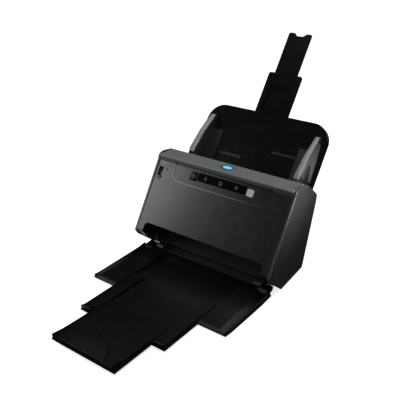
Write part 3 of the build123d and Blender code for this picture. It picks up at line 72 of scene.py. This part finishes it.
def noise(tree, place, scale, detail=3.0, roughness=0.55):
    """Cloudy noise from 0 to 1."""
    node = tree.nodes.new("ShaderNodeTexNoise")
    node.inputs["Scale"].default_value = scale
    node.inputs["Detail"].default_value = detail
    node.inputs["Roughness"].default_value = roughness
    tree.links.new(place, node.inputs["Vector"])
    return node.outputs["Fac"]


def span(tree, value, low, high, start=0.3, end=0.7):
    """The value from start to end, carried to low to high."""
    node = tree.nodes.new("ShaderNodeMapRange")
    node.inputs["From Min"].default_value = start
    node.inputs["From Max"].default_value = end
    node.inputs["To Min"].default_value = low
    node.inputs["To Max"].default_value = high
    tree.links.new(value, node.inputs["Value"])
    return node.outputs["Result"]


def two_tone(tree, factor, first, second):
    """A colour between two, by the factor."""
    node = tree.nodes.new("ShaderNodeMix")
    node.data_type = "RGBA"
    node.inputs["A"].default_value = (*first, 1.0)
    node.inputs["B"].default_value = (*second, 1.0)
    tree.links.new(factor, node.inputs["Factor"])
    return node.outputs["Result"]


def bump(tree, shader, height, distance):
    """Raises the shader's surface by the height, at most by the distance."""
    node = tree.nodes.new("ShaderNodeBump")
    node.inputs["Distance"].default_value = distance
    node.inputs["Strength"].default_value = 1.0
    tree.links.new(height, node.inputs["Height"])
    tree.links.new(node.outputs["Normal"], shader.inputs["Normal"])


def grey(level, blue=0.0):
    """A grey that may lean to blue."""
    return (level * (1 - blue), level, level * (1 + blue))


def moulded(name, colour, spread, roughness, grain=0.0, specular=0.5):
    """Moulded plastic: a faint drift of tone, uneven gloss and a fine spark-eroded grain."""
    made, tree, shader, place = new_material(name)
    drift = span(tree, noise(tree, place, DRIFT_SCALE), 0, 1)
    lighter = tuple(c * (1 + spread) for c in colour)
    darker = tuple(c * (1 - spread) for c in colour)
    tree.links.new(two_tone(tree, drift, darker, lighter), shader.inputs["Base Color"])
    smears = noise(tree, place, SMEAR_SCALE, 5, 0.6)
    low, high = roughness
    tree.links.new(span(tree, smears, low, high), shader.inputs["Roughness"])
    shader.inputs["Specular IOR Level"].default_value = specular
    if grain:
        bump(tree, shader, noise(tree, place, GRAIN_SCALE, 2), grain)
    else:
        bump(tree, shader, noise(tree, place, WAVE_SCALE, 2), WAVE_DEPTH)
    return made


def metal(name, colour, roughness):
    """Turned or drawn metal: fine lines one way, and uneven gloss."""
    made, tree, shader, place = new_material(name)
    stretch = tree.nodes.new("ShaderNodeMapping")
    stretch.inputs["Scale"].default_value = LINE_STRETCH
    tree.links.new(place, stretch.inputs["Vector"])
    lines = noise(tree, stretch.outputs["Vector"], LINE_SCALE, 4)
    darker = tuple(c * 0.85 for c in colour)
    tree.links.new(two_tone(tree, lines, darker, colour), shader.inputs["Base Color"])
    shader.inputs["Metallic"].default_value = 1.0
    gloss = span(tree, lines, roughness - LINE_GLOSS, roughness + LINE_GLOSS)
    tree.links.new(gloss, shader.inputs["Roughness"])
    bump(tree, shader, lines, LINE_DEPTH)
    return made


def rubber_finish(name):
    """Matt black rubber with fine pores."""
    made, tree, shader, place = new_material(name)
    pores = noise(tree, place, PORE_SCALE, 4)
    tree.links.new(two_tone(tree, pores, grey(0.02), grey(0.04)), shader.inputs["Base Color"])
    tree.links.new(span(tree, pores, 0.6, 0.85), shader.inputs["Roughness"])
    bump(tree, shader, pores, PORE_DEPTH)
    return made


def board_finish(name):
    """Green solder mask over paler copper tracks."""
    made, tree, shader, place = new_material(name)
    tracks = tree.nodes.new("ShaderNodeTexBrick")
    tracks.inputs["Scale"].default_value = 160
    tracks.inputs["Mortar Size"].default_value = 0.02
    tracks.inputs["Color1"].default_value = (0.006, 0.05, 0.02, 1)
    tracks.inputs["Color2"].default_value = (0.008, 0.06, 0.025, 1)
    tracks.inputs["Mortar"].default_value = (0.02, 0.13, 0.055, 1)
    tree.links.new(place, tracks.inputs["Vector"])
    tree.links.new(tracks.outputs["Color"], shader.inputs["Base Color"])
    tree.links.new(span(tree, noise(tree, place, 80), 0.25, 0.45), shader.inputs["Roughness"])
    return made


def glass_finish(name):
    """Clear green-tinted glass with a faint film."""
    made, tree, shader, place = new_material(name)
    film = noise(tree, place, 40, 4)
    tint = two_tone(tree, film, (0.80, 0.88, 0.86), (0.86, 0.92, 0.90))
    tree.links.new(tint, shader.inputs["Base Color"])
    tree.links.new(span(tree, film, 0.01, 0.06), shader.inputs["Roughness"])
    shader.inputs["Transmission Weight"].default_value = 0.9
    return made


def lens_finish(name):
    """Blue light guide: bright in the middle, deep blue at its edge."""
    made, tree, shader, place = new_material(name)
    low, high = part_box("status_light")
    centre = (low + high) / 2
    size = high - low
    fit = tree.nodes.new("ShaderNodeMapping")
    fit.vector_type = "TEXTURE"
    fit.inputs["Location"].default_value = (centre.x, centre.y, high.z)
    fit.inputs["Scale"].default_value = (size.x / 2, size.y / 2, 10.0)
    tree.links.new(place, fit.inputs["Vector"])
    reach = tree.nodes.new("ShaderNodeVectorMath")
    reach.operation = "LENGTH"
    tree.links.new(fit.outputs["Vector"], reach.inputs[0])
    edge = span(tree, reach.outputs["Value"], 0, 1, 0.5, 1.0)
    body = two_tone(tree, edge, (0.10, 0.55, 0.95), (0.0, 0.03, 0.22))
    tree.links.new(body, shader.inputs["Base Color"])
    glow = two_tone(tree, edge, (0.08, 0.52, 1.0), (0.0, 0.015, 0.12))
    tree.links.new(glow, shader.inputs["Emission Color"])
    shader.inputs["Emission Strength"].default_value = 0.9
    tree.links.new(span(tree, noise(tree, place, 300), 0.15, 0.25), shader.inputs["Roughness"])
    return made


FINISHES = {
    "cover_grey": moulded("cover_grey", grey(0.022, 0.03), 0.05, (0.36, 0.46), 0.00004),
    "face_black": moulded("face_black", grey(0.007, 0.03), 0.05, (0.28, 0.35), 0.00003),
    "band_silver": moulded("band_silver", grey(0.115, 0.03), 0.05, (0.36, 0.46), 0.00003),
    "gloss_black": moulded("gloss_black", grey(0.004), 0.1, (0.05, 0.09), specular=0.2),
    "tray_black": moulded("tray_black", grey(0.0028), 0.1, (0.24, 0.28), specular=0.25),
    "guide_grey": moulded("guide_grey", grey(0.007, 0.02), 0.05, (0.35, 0.45), 0.00004),
    "guide_silver": moulded("guide_silver", grey(0.17, 0.015), 0.08, (0.34, 0.44), 0.00005),
    "print_grey": moulded("print_grey", grey(0.13, 0.02), 0.05, (0.4, 0.5)),
    "shell_grey": moulded("shell_grey", grey(0.06, 0.015), 0.06, (0.36, 0.46), 0.00004),
    # Light grey that paints the highlight of light caught by rounded edges of the face; it is not a colour
    # of their plastic.
    "painted_highlight_grey": moulded("painted_highlight_grey", grey(0.22, 0.02), 0.05, (0.25, 0.35)),
    "rim_blue": moulded("rim_blue", (0.002, 0.008, 0.03), 0.05, (0.2, 0.3)),
    "key_silver": moulded("key_silver", grey(0.42, 0.01), 0.04, (0.3, 0.4), 0.00002),
    "inner_black": moulded("inner_black", grey(0.018), 0.08, (0.45, 0.6), 0.00004),
    "gear_white": moulded("gear_white", (0.66, 0.64, 0.58), 0.03, (0.4, 0.5)),
    "rubber": rubber_finish("rubber"),
    "steel": metal("steel", (0.55, 0.55, 0.56), 0.28),
    "bush_bronze": metal("bush_bronze", (0.50, 0.35, 0.18), 0.35),
    "board_green": board_finish("board_green"),
    "scan_glass": glass_finish("scan_glass"),
    "light_blue": lens_finish("light_blue"),
}

for part in frame["record"]["subparts"]:
    node = frame["nodes"][part["node"]]
    node.data.materials.clear()
    node.data.materials.append(FINISHES[part["material_slot"]])


# Places. Sizes below are in millimetres, in the drawing's own places: y = 0 at the upper edge of
# the face, which ROW_Y carries to the model's frame.

ROW_Y = 47.2585
FACE_FOOT = (-75.0, 47.0)
FACE_HEAD = (-0.8, 161.4)
FACE_ANGLE = math.atan2(FACE_HEAD[1] - FACE_FOOT[1], FACE_HEAD[0] - FACE_FOOT[0])
TRAY_FOOT = (85.5, 146.4)
TRAY_ANGLE = math.radians(53.5)
SIDES = ((-1, "left"), (1, "right"))


def at(x, y, z):
    """A drawing place as a point of the model's frame, in metres."""
    return Vector((x, y + ROW_Y, z)) * MM


def on_slope(foot, angle, x, along, out):
    """A point of a sloping plane, at a distance up from its foot and out in front of it."""
    y = foot[0] + along * math.cos(angle) - out * math.sin(angle)
    z = foot[1] + along * math.sin(angle) + out * math.cos(angle)
    return at(x, y, z)


def on_face(x, v, out=0.0):
    """A point of the front face, v up from its foot and out in front of it."""
    return on_slope(FACE_FOOT, FACE_ANGLE, x, v, out)


def on_tray(x, s, n=0.0):
    """A point of the feed tray, s up from its foot and n in front of it."""
    return on_slope(TRAY_FOOT, TRAY_ANGLE, x, s, n)


# Forms

WELD_REACH = 1e-7
BEVEL_STEPS = 3
BEVEL_ANGLE = math.radians(35)


def finish_piece(name, form, finish, body, bevel=0.0, smooth=True):
    """Turns a bmesh into a piece of the scanner with a finish, riding on a body."""
    bmesh.ops.remove_doubles(form, verts=form.verts, dist=WELD_REACH)
    bmesh.ops.recalc_face_normals(form, faces=form.faces)
    mesh = bpy.data.meshes.new(name)
    form.to_mesh(mesh)
    form.free()
    mesh.materials.append(FINISHES[finish])
    made = bpy.data.objects.new(name, mesh)
    bpy.context.scene.collection.objects.link(made)
    if smooth:
        mesh.shade_smooth()
    if bevel:
        rounding = made.modifiers.new("rounding", "BEVEL")
        rounding.width = bevel * MM
        rounding.segments = BEVEL_STEPS
        rounding.limit_method = "ANGLE"
        rounding.angle_limit = BEVEL_ANGLE
        rounding.harden_normals = True
    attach(made, body)


def loft(form, rings):
    """Adds a closed solid through rings of points with the same count."""
    rows = [[form.verts.new(point) for point in ring] for ring in rings]
    count = len(rows[0])
    form.faces.new(rows[0])
    form.faces.new(rows[-1])
    for first, second in zip(rows, rows[1:]):
        for k in range(count):
            after = (k + 1) % count
            form.faces.new((first[k], first[after], second[after], second[k]))


def lofted_piece(name, rings, finish, body, bevel=0.0):
    form = bmesh.new()
    loft(form, rings)
    finish_piece(name, form, finish, body, bevel)


def bar_piece(name, outline, x_from, x_to, finish, body, bevel):
    """A bar along X with a side view outline."""
    rings = [[at(x, *point) for point in outline] for x in (x_from, x_to)]
    lofted_piece(name, rings, finish, body, bevel)


def round_turns(count):
    """The directions to the corners of a regular ring."""
    return [2 * math.pi * k / count for k in range(count)]


def curve_value(before, start, end, after, t):
    """A smooth curve's value at t between start and end."""
    slope = end - before
    bend = 2 * before - 5 * start + 4 * end - after
    twist = 3 * start - before - 3 * end + after
    return 0.5 * (2 * start + slope * t + bend * t**2 + twist * t**3)


def blended(stations, steps):
    """Smooth values between stations, each a tuple that starts with its place."""
    rows = []
    last = len(stations) - 1
    for k in range(last):
        near = [stations[max(0, min(last, k + j))] for j in (-1, 0, 1, 2)]
        rows += [tuple(curve_value(*four, step / steps) for four in zip(*near)) for step in range(steps)]
    return rows + [stations[-1]]


# Exit apron: the moulded floor between the bottom plate and the eject tray

APRON = [(-25, 5.6), (-34, 5.2), (-43, 3.6), (-52, 2.6), (-60, 1.6), (-60, 0.4), (-25, 0.4)]
APRON_HALF = 99.6

bar_piece("exit_apron", APRON, -APRON_HALF, APRON_HALF, "inner_black", "root", 0.8)


# Eject tray rims: y, outer x, top height and wall thickness along each side

RIM = [
    (-57.4, 138.6, 12.4, 3.2),
    (-61.0, 139.4, 12.0, 3.4),
    (-70.0, 139.8, 10.4, 3.2),
    (-84.0, 140.0, 9.5, 2.6),
    (-105.0, 140.1, 9.2, 2.4),
    (-140.0, 140.1, 8.8, 2.2),
    (-172.0, 140.1, 8.4, 2.2),
    (-184.0, 139.8, 9.2, 2.2),
    (-188.8, 139.2, 10.8, 2.0),
]
RIM_STEPS = 6
RIM_FOOT = 4.4
RIM_LEAST_HEIGHT = 3.0
RIM_SINK = 1.2
RIM_FLANGE = 5.5


def rim_section(x, top, wall):
    """The rim's outline across the tray: outer wall, rounded top, inner wall and flange."""
    foot = min(RIM_FOOT, top - RIM_LEAST_HEIGHT)
    inside = x - wall
    return [
        (x, foot - RIM_SINK),
        (x, top - 0.9),
        (x - 0.3, top - 0.25),
        (x - wall / 2, top),
        (inside + 0.3, top - 0.25),
        (inside - 0.2, top - 1.0),
        (inside - 1.6, foot + 1.5),
        (inside - RIM_FLANGE, foot),
        (inside - RIM_FLANGE, foot - RIM_SINK),
    ]


for side, word in SIDES:
    rim_rings = [
        [at(side * across, y, z) for across, z in rim_section(x, top, wall)]
        for y, x, top, wall in blended(RIM, RIM_STEPS)
    ]
    lofted_piece(f"{word}_eject_rim", rim_rings, "tray_black", "eject_tray")


# Raised front corners of the middle section

CORNER = [(-269.9, 8.0), (-256.0, 8.0), (-256.0, 9.2), (-262.0, 11.4), (-269.0, 12.6), (-269.9, 12.2)]
CORNER_FROM, CORNER_TO = 67.2, 86.0

for side, word in SIDES:
    corner_ends = sorted((side * CORNER_FROM, side * CORNER_TO))
    bar_piece(f"{word}_middle_corner", CORNER, *corner_ends, "tray_black", "middle_tray", 0.5)


# Silver tops of the document guides: s and height above the tray along each top

GUIDE_MIDDLE = 112.6
GUIDE_STEPS = 5
GUIDE_TOP = [(85.0, 6.6), (80.0, 9.4), (45.0, 24.6), (22.0, 31.2), (6.0, 35.4), (1.0, 35.6), (-1.5, 35.3)]
GUIDE_TOP_HALF = 5.0
GUIDE_TOP_SINK = 2.2
GUIDE_TOP_EDGE = 0.8
GUIDE_TOP_CROWN = 1.25
GUIDE_TOP_NARROWING = (0.62, 0.88)


def guide_top_section(half):
    """A crowned strip's outline across the guide, with its foot sunk into it."""
    side_up, shoulder_up = 0.2, 0.9
    return [
        (-half, -GUIDE_TOP_SINK),
        (-half, side_up),
        (-half + GUIDE_TOP_EDGE, shoulder_up),
        (0, GUIDE_TOP_CROWN),
        (half - GUIDE_TOP_EDGE, shoulder_up),
        (half, side_up),
        (half, -GUIDE_TOP_SINK),
    ]


guide_top_stations = blended(GUIDE_TOP, GUIDE_STEPS)
for side, word in SIDES:
    top_rings = []
    for k, (s, n) in enumerate(guide_top_stations):
        from_end = min(k, len(guide_top_stations) - 1 - k)
        narrowing = GUIDE_TOP_NARROWING[from_end] if from_end < len(GUIDE_TOP_NARROWING) else 1.0
        section = guide_top_section(GUIDE_TOP_HALF * narrowing)
        top_rings.append([on_tray(side * GUIDE_MIDDLE + x, s, n + up) for x, up in section])
    lofted_piece(f"{word}_guide_top", top_rings, "guide_silver", f"{word}_guide")


# Outer shells of the document guides: s, height of the top, how far the foot spreads outwards

GUIDE_SHELL = [(74.0, 11.5, 1.2), (60.0, 17.6, 2.8), (40.0, 26.0, 4.6), (20.0, 31.6, 5.6), (4.0, 34.8, 6.0)]
SHELL_FROM = 4.6
SHELL_FOOT = 1.6
SHELL_WALL = 0.9
SHELL_EDGE_DROP = 0.1
SHELL_CURVE = 2.2
SHELL_STEPS = 8


def shell_section(top, reach):
    """A thin wall's outline that curves outwards from the guide's top to the tray."""
    outer, inner = [], []
    for step in range(SHELL_STEPS + 1):
        t = step / SHELL_STEPS
        x = GUIDE_MIDDLE + SHELL_FROM + reach * t**SHELL_CURVE
        n = top - (top - SHELL_FOOT) * t
        outer.append((x + SHELL_WALL, n))
        inner.append((x, n - SHELL_EDGE_DROP))
    return outer + inner[::-1]


for side, word in SIDES:
    shell_rings = [
        [on_tray(side * x, s, n) for x, n in shell_section(top, reach)]
        for s, top, reach in blended(GUIDE_SHELL, GUIDE_STEPS)
    ]
    lofted_piece(f"{word}_guide_shell", shell_rings, "shell_grey", f"{word}_guide")


# Rounded edge of the control recess, thickest at its left corner; its light grey is a painted highlight for
# light caught by the edge

RECESS_HALF, RECESS_LOW, RECESS_TOP, RECESS_CORNER = 103.0, 106.0, 136.0, 18.0
CORNER_STEPS = 8
EDGE_RADIUS = 0.95
EDGE_LEAST = 0.12
EDGE_TAPER = 5
EDGE_SINK = 0.2
TUBE_COUNT = 8


def recess_line():
    """The recess's edge on the face, from its left top to its right top."""
    line = [(-RECESS_HALF, RECESS_TOP)]
    for side, start in ((-1, 180), (1, 270)):
        centre_x, centre_v = side * (RECESS_HALF - RECESS_CORNER), RECESS_LOW + RECESS_CORNER
        for step in range(CORNER_STEPS + 1):
            turn = math.radians(start + 90 * step / CORNER_STEPS)
            across, up = RECESS_CORNER * math.cos(turn), RECESS_CORNER * math.sin(turn)
            line.append((centre_x + across, centre_v + up))
    return line + [(RECESS_HALF, RECESS_TOP)]


def recess_ring(line, k):
    """A ring round the line's point k, square to the line."""
    x, v = line[k]
    before, after = Vector(line[max(k - 1, 0)]), Vector(line[min(k + 1, len(line) - 1)])
    along = (after - before).normalized()
    past_corner = max(0, x + RECESS_HALF - RECESS_CORNER) / RECESS_HALF
    radius = EDGE_RADIUS * max(EDGE_LEAST, 1 - EDGE_TAPER * past_corner)
    ring = []
    for turn in round_turns(TUBE_COUNT):
        across, out = radius * math.cos(turn), radius * math.sin(turn)
        ring.append(on_face(x - along.y * across, v + along.x * across, out - EDGE_SINK))
    return ring


recess_points = recess_line()
recess_rings = [recess_ring(recess_points, k) for k in range(len(recess_points))]
lofted_piece("recess_edge_highlight", recess_rings, "painted_highlight_grey", "front_unit")


# Rounded upper edge of the face, left of the recess, whose light grey is a painted highlight for light
# caught by the edge: x and radius along it

UPPER_EDGE = [(-140.0, 0.3), (-136.0, 0.8), (-124.0, 0.9), (-110.0, 0.8), (-104.0, 0.3)]
UPPER_EDGE_V = 134.6
UPPER_EDGE_SINK = 0.15

upper_edge_rings = [
    [
        on_face(x, UPPER_EDGE_V + radius * math.cos(turn), radius * math.sin(turn) - UPPER_EDGE_SINK)
        for turn in round_turns(TUBE_COUNT)
    ]
    for x, radius in UPPER_EDGE
]
lofted_piece("face_upper_edge_highlight", upper_edge_rings, "painted_highlight_grey", "front_unit")


# Small sensor window beside the lever: radius and height of its rings

WINDOW_X, WINDOW_V = -118.0, 121.8
WINDOW_RINGS = [(2.5, -0.4), (2.5, 0.12), (2.1, 0.2)]
WINDOW_COUNT = 24

window_rings = [
    [
        on_face(WINDOW_X + radius * math.cos(turn), WINDOW_V + radius * math.sin(turn), out)
        for turn in round_turns(WINDOW_COUNT)
    ]
    for radius, out in WINDOW_RINGS
]
lofted_piece("sensor_window", window_rings, "tray_black", "front_unit")


# Dark rim of the status light: share of the light's size and height over its top

LIGHT_RIM = [(0.98, -0.9), (0.98, -0.05), (1.04, 0.05), (1.12, -0.05), (1.14, -0.9)]
LIGHT_RIM_COUNT = 64


def make_light_rim():
    low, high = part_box("status_light")
    centre, half = (low + high) / 2, (high - low) / 2
    form = bmesh.new()
    rows = [
        [
            form.verts.new((
                centre.x + half.x * share * math.cos(turn),
                centre.y + half.y * share * math.sin(turn),
                high.z + lift * MM,
            ))
            for share, lift in LIGHT_RIM
        ]
        for turn in round_turns(LIGHT_RIM_COUNT)
    ]
    for row, after in zip(rows, rows[1:] + rows[:1]):
        for k in range(len(row)):
            onward = (k + 1) % len(row)
            form.faces.new((row[k], row[onward], after[onward], after[k]))
    finish_piece("light_rim", form, "rim_blue", "front_unit")


make_light_rim()


# Icons on the keys: generic marks, each a thin raised print

ICON_PROUD = 0.12
ICON_SINK = 0.2
ICON_ARC_STEPS = 20
POWER_X = -57.5
POWER_LEVEL = -0.1
POWER_STROKE = 0.7
STRIP_LEVEL = 0.0
PAGE_SIZE = (4.2, 5.2)
PAGE_LINE = 0.45


def print_patch(form, corners, level):
    """Adds a thin raised patch of print with these corners on the face."""
    loft(form, [[on_face(*corner, level + out) for corner in corners] for out in (-ICON_SINK, ICON_PROUD)])


def stroke_corners(start, end, width):
    """The corners of a straight stroke, half its width longer at each end."""
    start, end = Vector(start), Vector(end)
    along = (end - start).normalized() * width / 2
    across = Vector((-along.y, along.x))
    return [start - along + across, start - along - across, end + along - across, end + along + across]


def arc_corners(centre, radius, first, second, width):
    """The corners of a short piece of a round stroke."""
    inside, outside = radius - width / 2, radius + width / 2
    return [
        (centre[0] + reach * math.cos(turn), centre[1] + reach * math.sin(turn))
        for reach, turn in ((inside, first), (outside, first), (outside, second), (inside, second))
    ]


def page_lines(x, v):
    """The four strokes of an upright sheet of paper."""
    wide, tall = PAGE_SIZE[0] / 2, PAGE_SIZE[1] / 2
    corners = [(x - wide, v - tall), (x + wide, v - tall), (x + wide, v + tall), (x - wide, v + tall)]
    return [(corners[k], corners[(k + 1) % 4], PAGE_LINE) for k in range(4)]


def make_icon(name, body, level, strokes, arcs=()):
    form = bmesh.new()
    for stroke in strokes:
        print_patch(form, stroke_corners(*stroke), level)
    for centre, radius, start, end, width in arcs:
        step = (end - start) / ICON_ARC_STEPS
        for k in range(ICON_ARC_STEPS):
            first, second = math.radians(start + step * k), math.radians(start + step * (k + 1))
            print_patch(form, arc_corners(centre, radius, first, second, width), level)
    finish_piece(name, form, "print_grey", body, smooth=False)


TEXT_LINES = [((-32.2, 125.9), (-29.8, 125.9), 0.35), ((-32.2, 124.5), (-29.8, 124.5), 0.35)]
ARROW_LINES = [
    ((34, 123.4), (34, 127.0), 0.4),
    ((34, 127.0), (33, 125.9), 0.4),
    ((34, 127.0), (35, 125.9), 0.4),
]

make_icon(
    "power_icon",
    "power_button",
    POWER_LEVEL,
    [((POWER_X, 124.8), (POWER_X, 128.4), POWER_STROKE)],
    [((POWER_X, 124.3), 3.1, 120, 420, POWER_STROKE)],
)
make_icon("key_1_icon", "function_key_1", STRIP_LEVEL, page_lines(-31, 125.2) + TEXT_LINES)
make_icon("key_2_icon", "function_key_2", STRIP_LEVEL, page_lines(0.2, 125.6) + page_lines(2.0, 124.4))
make_icon("key_3_icon", "function_key_3", STRIP_LEVEL, page_lines(34, 125.2) + ARROW_LINES)


# Studio

WORLD_COLOUR = (0.95, 0.97, 1.0, 1)
WORLD_STRENGTH = 0.3
FLOOR_COLOUR = (0.9, 0.9, 0.9, 1)
FLOOR_GLOW = 0.75
FLOOR_HALF = 12
FLOOR_DROP = 0.0002
CARD_COLOUR = (0.004, 0.004, 0.004, 1)


def make_world():
    """A dim even light, which the camera, gloss and glass see as white."""
    world = bpy.data.worlds.new("studio")
    bpy.context.scene.world = world
    world.use_nodes = True
    tree = world.node_tree
    tree.nodes.clear()
    output = tree.nodes.new("ShaderNodeOutputWorld")
    light = tree.nodes.new("ShaderNodeBackground")
    light.inputs["Color"].default_value = WORLD_COLOUR
    light.inputs["Strength"].default_value = WORLD_STRENGTH
    seen = tree.nodes.new("ShaderNodeBackground")
    seen.inputs["Color"].default_value = (1, 1, 1, 1)
    seen.inputs["Strength"].default_value = 1.0
    rays = tree.nodes.new("ShaderNodeLightPath")
    seen_by = rays.outputs["Is Camera Ray"]
    for kind in ("Is Glossy Ray", "Is Transmission Ray"):
        either = tree.nodes.new("ShaderNodeMath")
        either.operation = "MAXIMUM"
        tree.links.new(seen_by, either.inputs[0])
        tree.links.new(rays.outputs[kind], either.inputs[1])
        seen_by = either.outputs["Value"]
    mix = tree.nodes.new("ShaderNodeMixShader")
    tree.links.new(seen_by, mix.inputs["Fac"])
    tree.links.new(light.outputs["Background"], mix.inputs[1])
    tree.links.new(seen.outputs["Background"], mix.inputs[2])
    tree.links.new(mix.outputs["Shader"], output.inputs["Surface"])


def aim_at(thing, place, aim, axis):
    """Puts a thing at a place and turns its axis to the aim."""
    thing.location = place
    thing.rotation_euler = (Vector(aim) - Vector(place)).to_track_quat(axis, "Y").to_euler()


def area_light(name, place, aim, size, power, spread=180):
    """A soft lamp, its size in metres, its power in watts and its spread in degrees."""
    data = bpy.data.lights.new(name, "AREA")
    data.shape = "RECTANGLE"
    data.size, data.size_y = size
    data.energy = power
    data.spread = math.radians(spread)
    lamp = bpy.data.objects.new(name, data)
    bpy.context.scene.collection.objects.link(lamp)
    aim_at(lamp, place, aim, "-Z")


def flat_square(name, half):
    """A level square object without a material."""
    mesh = bpy.data.meshes.new(name)
    square = bpy.data.objects.new(name, mesh)
    bpy.context.scene.collection.objects.link(square)
    grid = bmesh.new()
    bmesh.ops.create_grid(grid, x_segments=1, y_segments=1, size=half)
    grid.to_mesh(mesh)
    grid.free()
    return square


def make_floor():
    """A pale floor that the camera sees a little brighter than it is, with the scanner's shadow."""
    made = bpy.data.materials.new("floor")
    made.use_nodes = True
    tree = made.node_tree
    tree.nodes.clear()
    output = tree.nodes.new("ShaderNodeOutputMaterial")
    paint = tree.nodes.new("ShaderNodeBsdfDiffuse")
    paint.inputs["Color"].default_value = FLOOR_COLOUR
    glow = tree.nodes.new("ShaderNodeEmission")
    rays = tree.nodes.new("ShaderNodeLightPath")
    lift = tree.nodes.new("ShaderNodeMath")
    lift.operation = "MULTIPLY"
    lift.inputs[1].default_value = FLOOR_GLOW
    tree.links.new(rays.outputs["Is Camera Ray"], lift.inputs[0])
    tree.links.new(lift.outputs["Value"], glow.inputs["Strength"])
    both = tree.nodes.new("ShaderNodeAddShader")
    tree.links.new(paint.outputs["BSDF"], both.inputs[0])
    tree.links.new(glow.outputs["Emission"], both.inputs[1])
    tree.links.new(both.outputs["Shader"], output.inputs["Surface"])
    floor = flat_square("floor", FLOOR_HALF)
    floor.data.materials.append(made)
    floor.location.z = -FLOOR_DROP


def dark_card(name, place, aim, size):
    """A black studio card that only reflections see, so that gloss black keeps its depth."""
    made = bpy.data.materials.new(name)
    made.use_nodes = True
    shader = made.node_tree.nodes["Principled BSDF"]
    shader.inputs["Base Color"].default_value = CARD_COLOUR
    shader.inputs["Specular IOR Level"].default_value = 0.0
    card = flat_square(name, 0.5)
    card.data.materials.append(made)
    card.scale = (*size, 1)
    aim_at(card, place, aim, "Z")
    for way in ("camera", "diffuse", "transmission", "volume_scatter", "shadow"):
        setattr(card, f"visible_{way}", False)


CAMERA_PLACE = (0.578212, -0.767652, 0.603952)
CAMERA_TURNS = (37.605, 64.046, -0.914)
CAMERA_LENS = 56.75
CAMERA_SENSOR = 36


def make_camera():
    """The camera at the photo's place: turned about Z, then X, then its own line of sight."""
    data = bpy.data.cameras.new("camera")
    data.lens = CAMERA_LENS
    data.sensor_width = CAMERA_SENSOR
    camera = bpy.data.objects.new("camera", data)
    bpy.context.scene.collection.objects.link(camera)
    first, second, third = (math.radians(turn) for turn in CAMERA_TURNS)
    camera.matrix_world = (
        Matrix.Translation(CAMERA_PLACE)
        @ Matrix.Rotation(first, 4, "Z")
        @ Matrix.Rotation(second, 4, "X")
        @ Matrix.Rotation(third, 4, "Z")
    )
    bpy.context.scene.camera = camera


make_world()
area_light("left_softbox", (-0.62, -0.34, 0.33), (-0.115, 0.02, 0.12), (0.32, 0.4), 2.4)
area_light("top_softbox", (0.1, 0.3, 1.7), (0, 0, 0.1), (1.6, 1.2), 13)
area_light("right_softbox", (0.66, 0.10, 0.24), (0.146, 0.04, 0.215), (0.14, 0.14), 0.28, 24)
dark_card("back_card", (-0.75, 1.1, 0.6), (0, -0.2, 0.0), (2.8, 1.6))
dark_card("front_card", (-1.7, -2.4, 1.7), (0, 0, 0.1), (5.0, 4.2))
dark_card("right_card", (0.66, 0.5, 0.001), (0.66, 0.5, 1.0), (1.5, 1.9))
make_floor()
make_camera()
bpy.context.scene.view_settings.view_transform = "Standard"
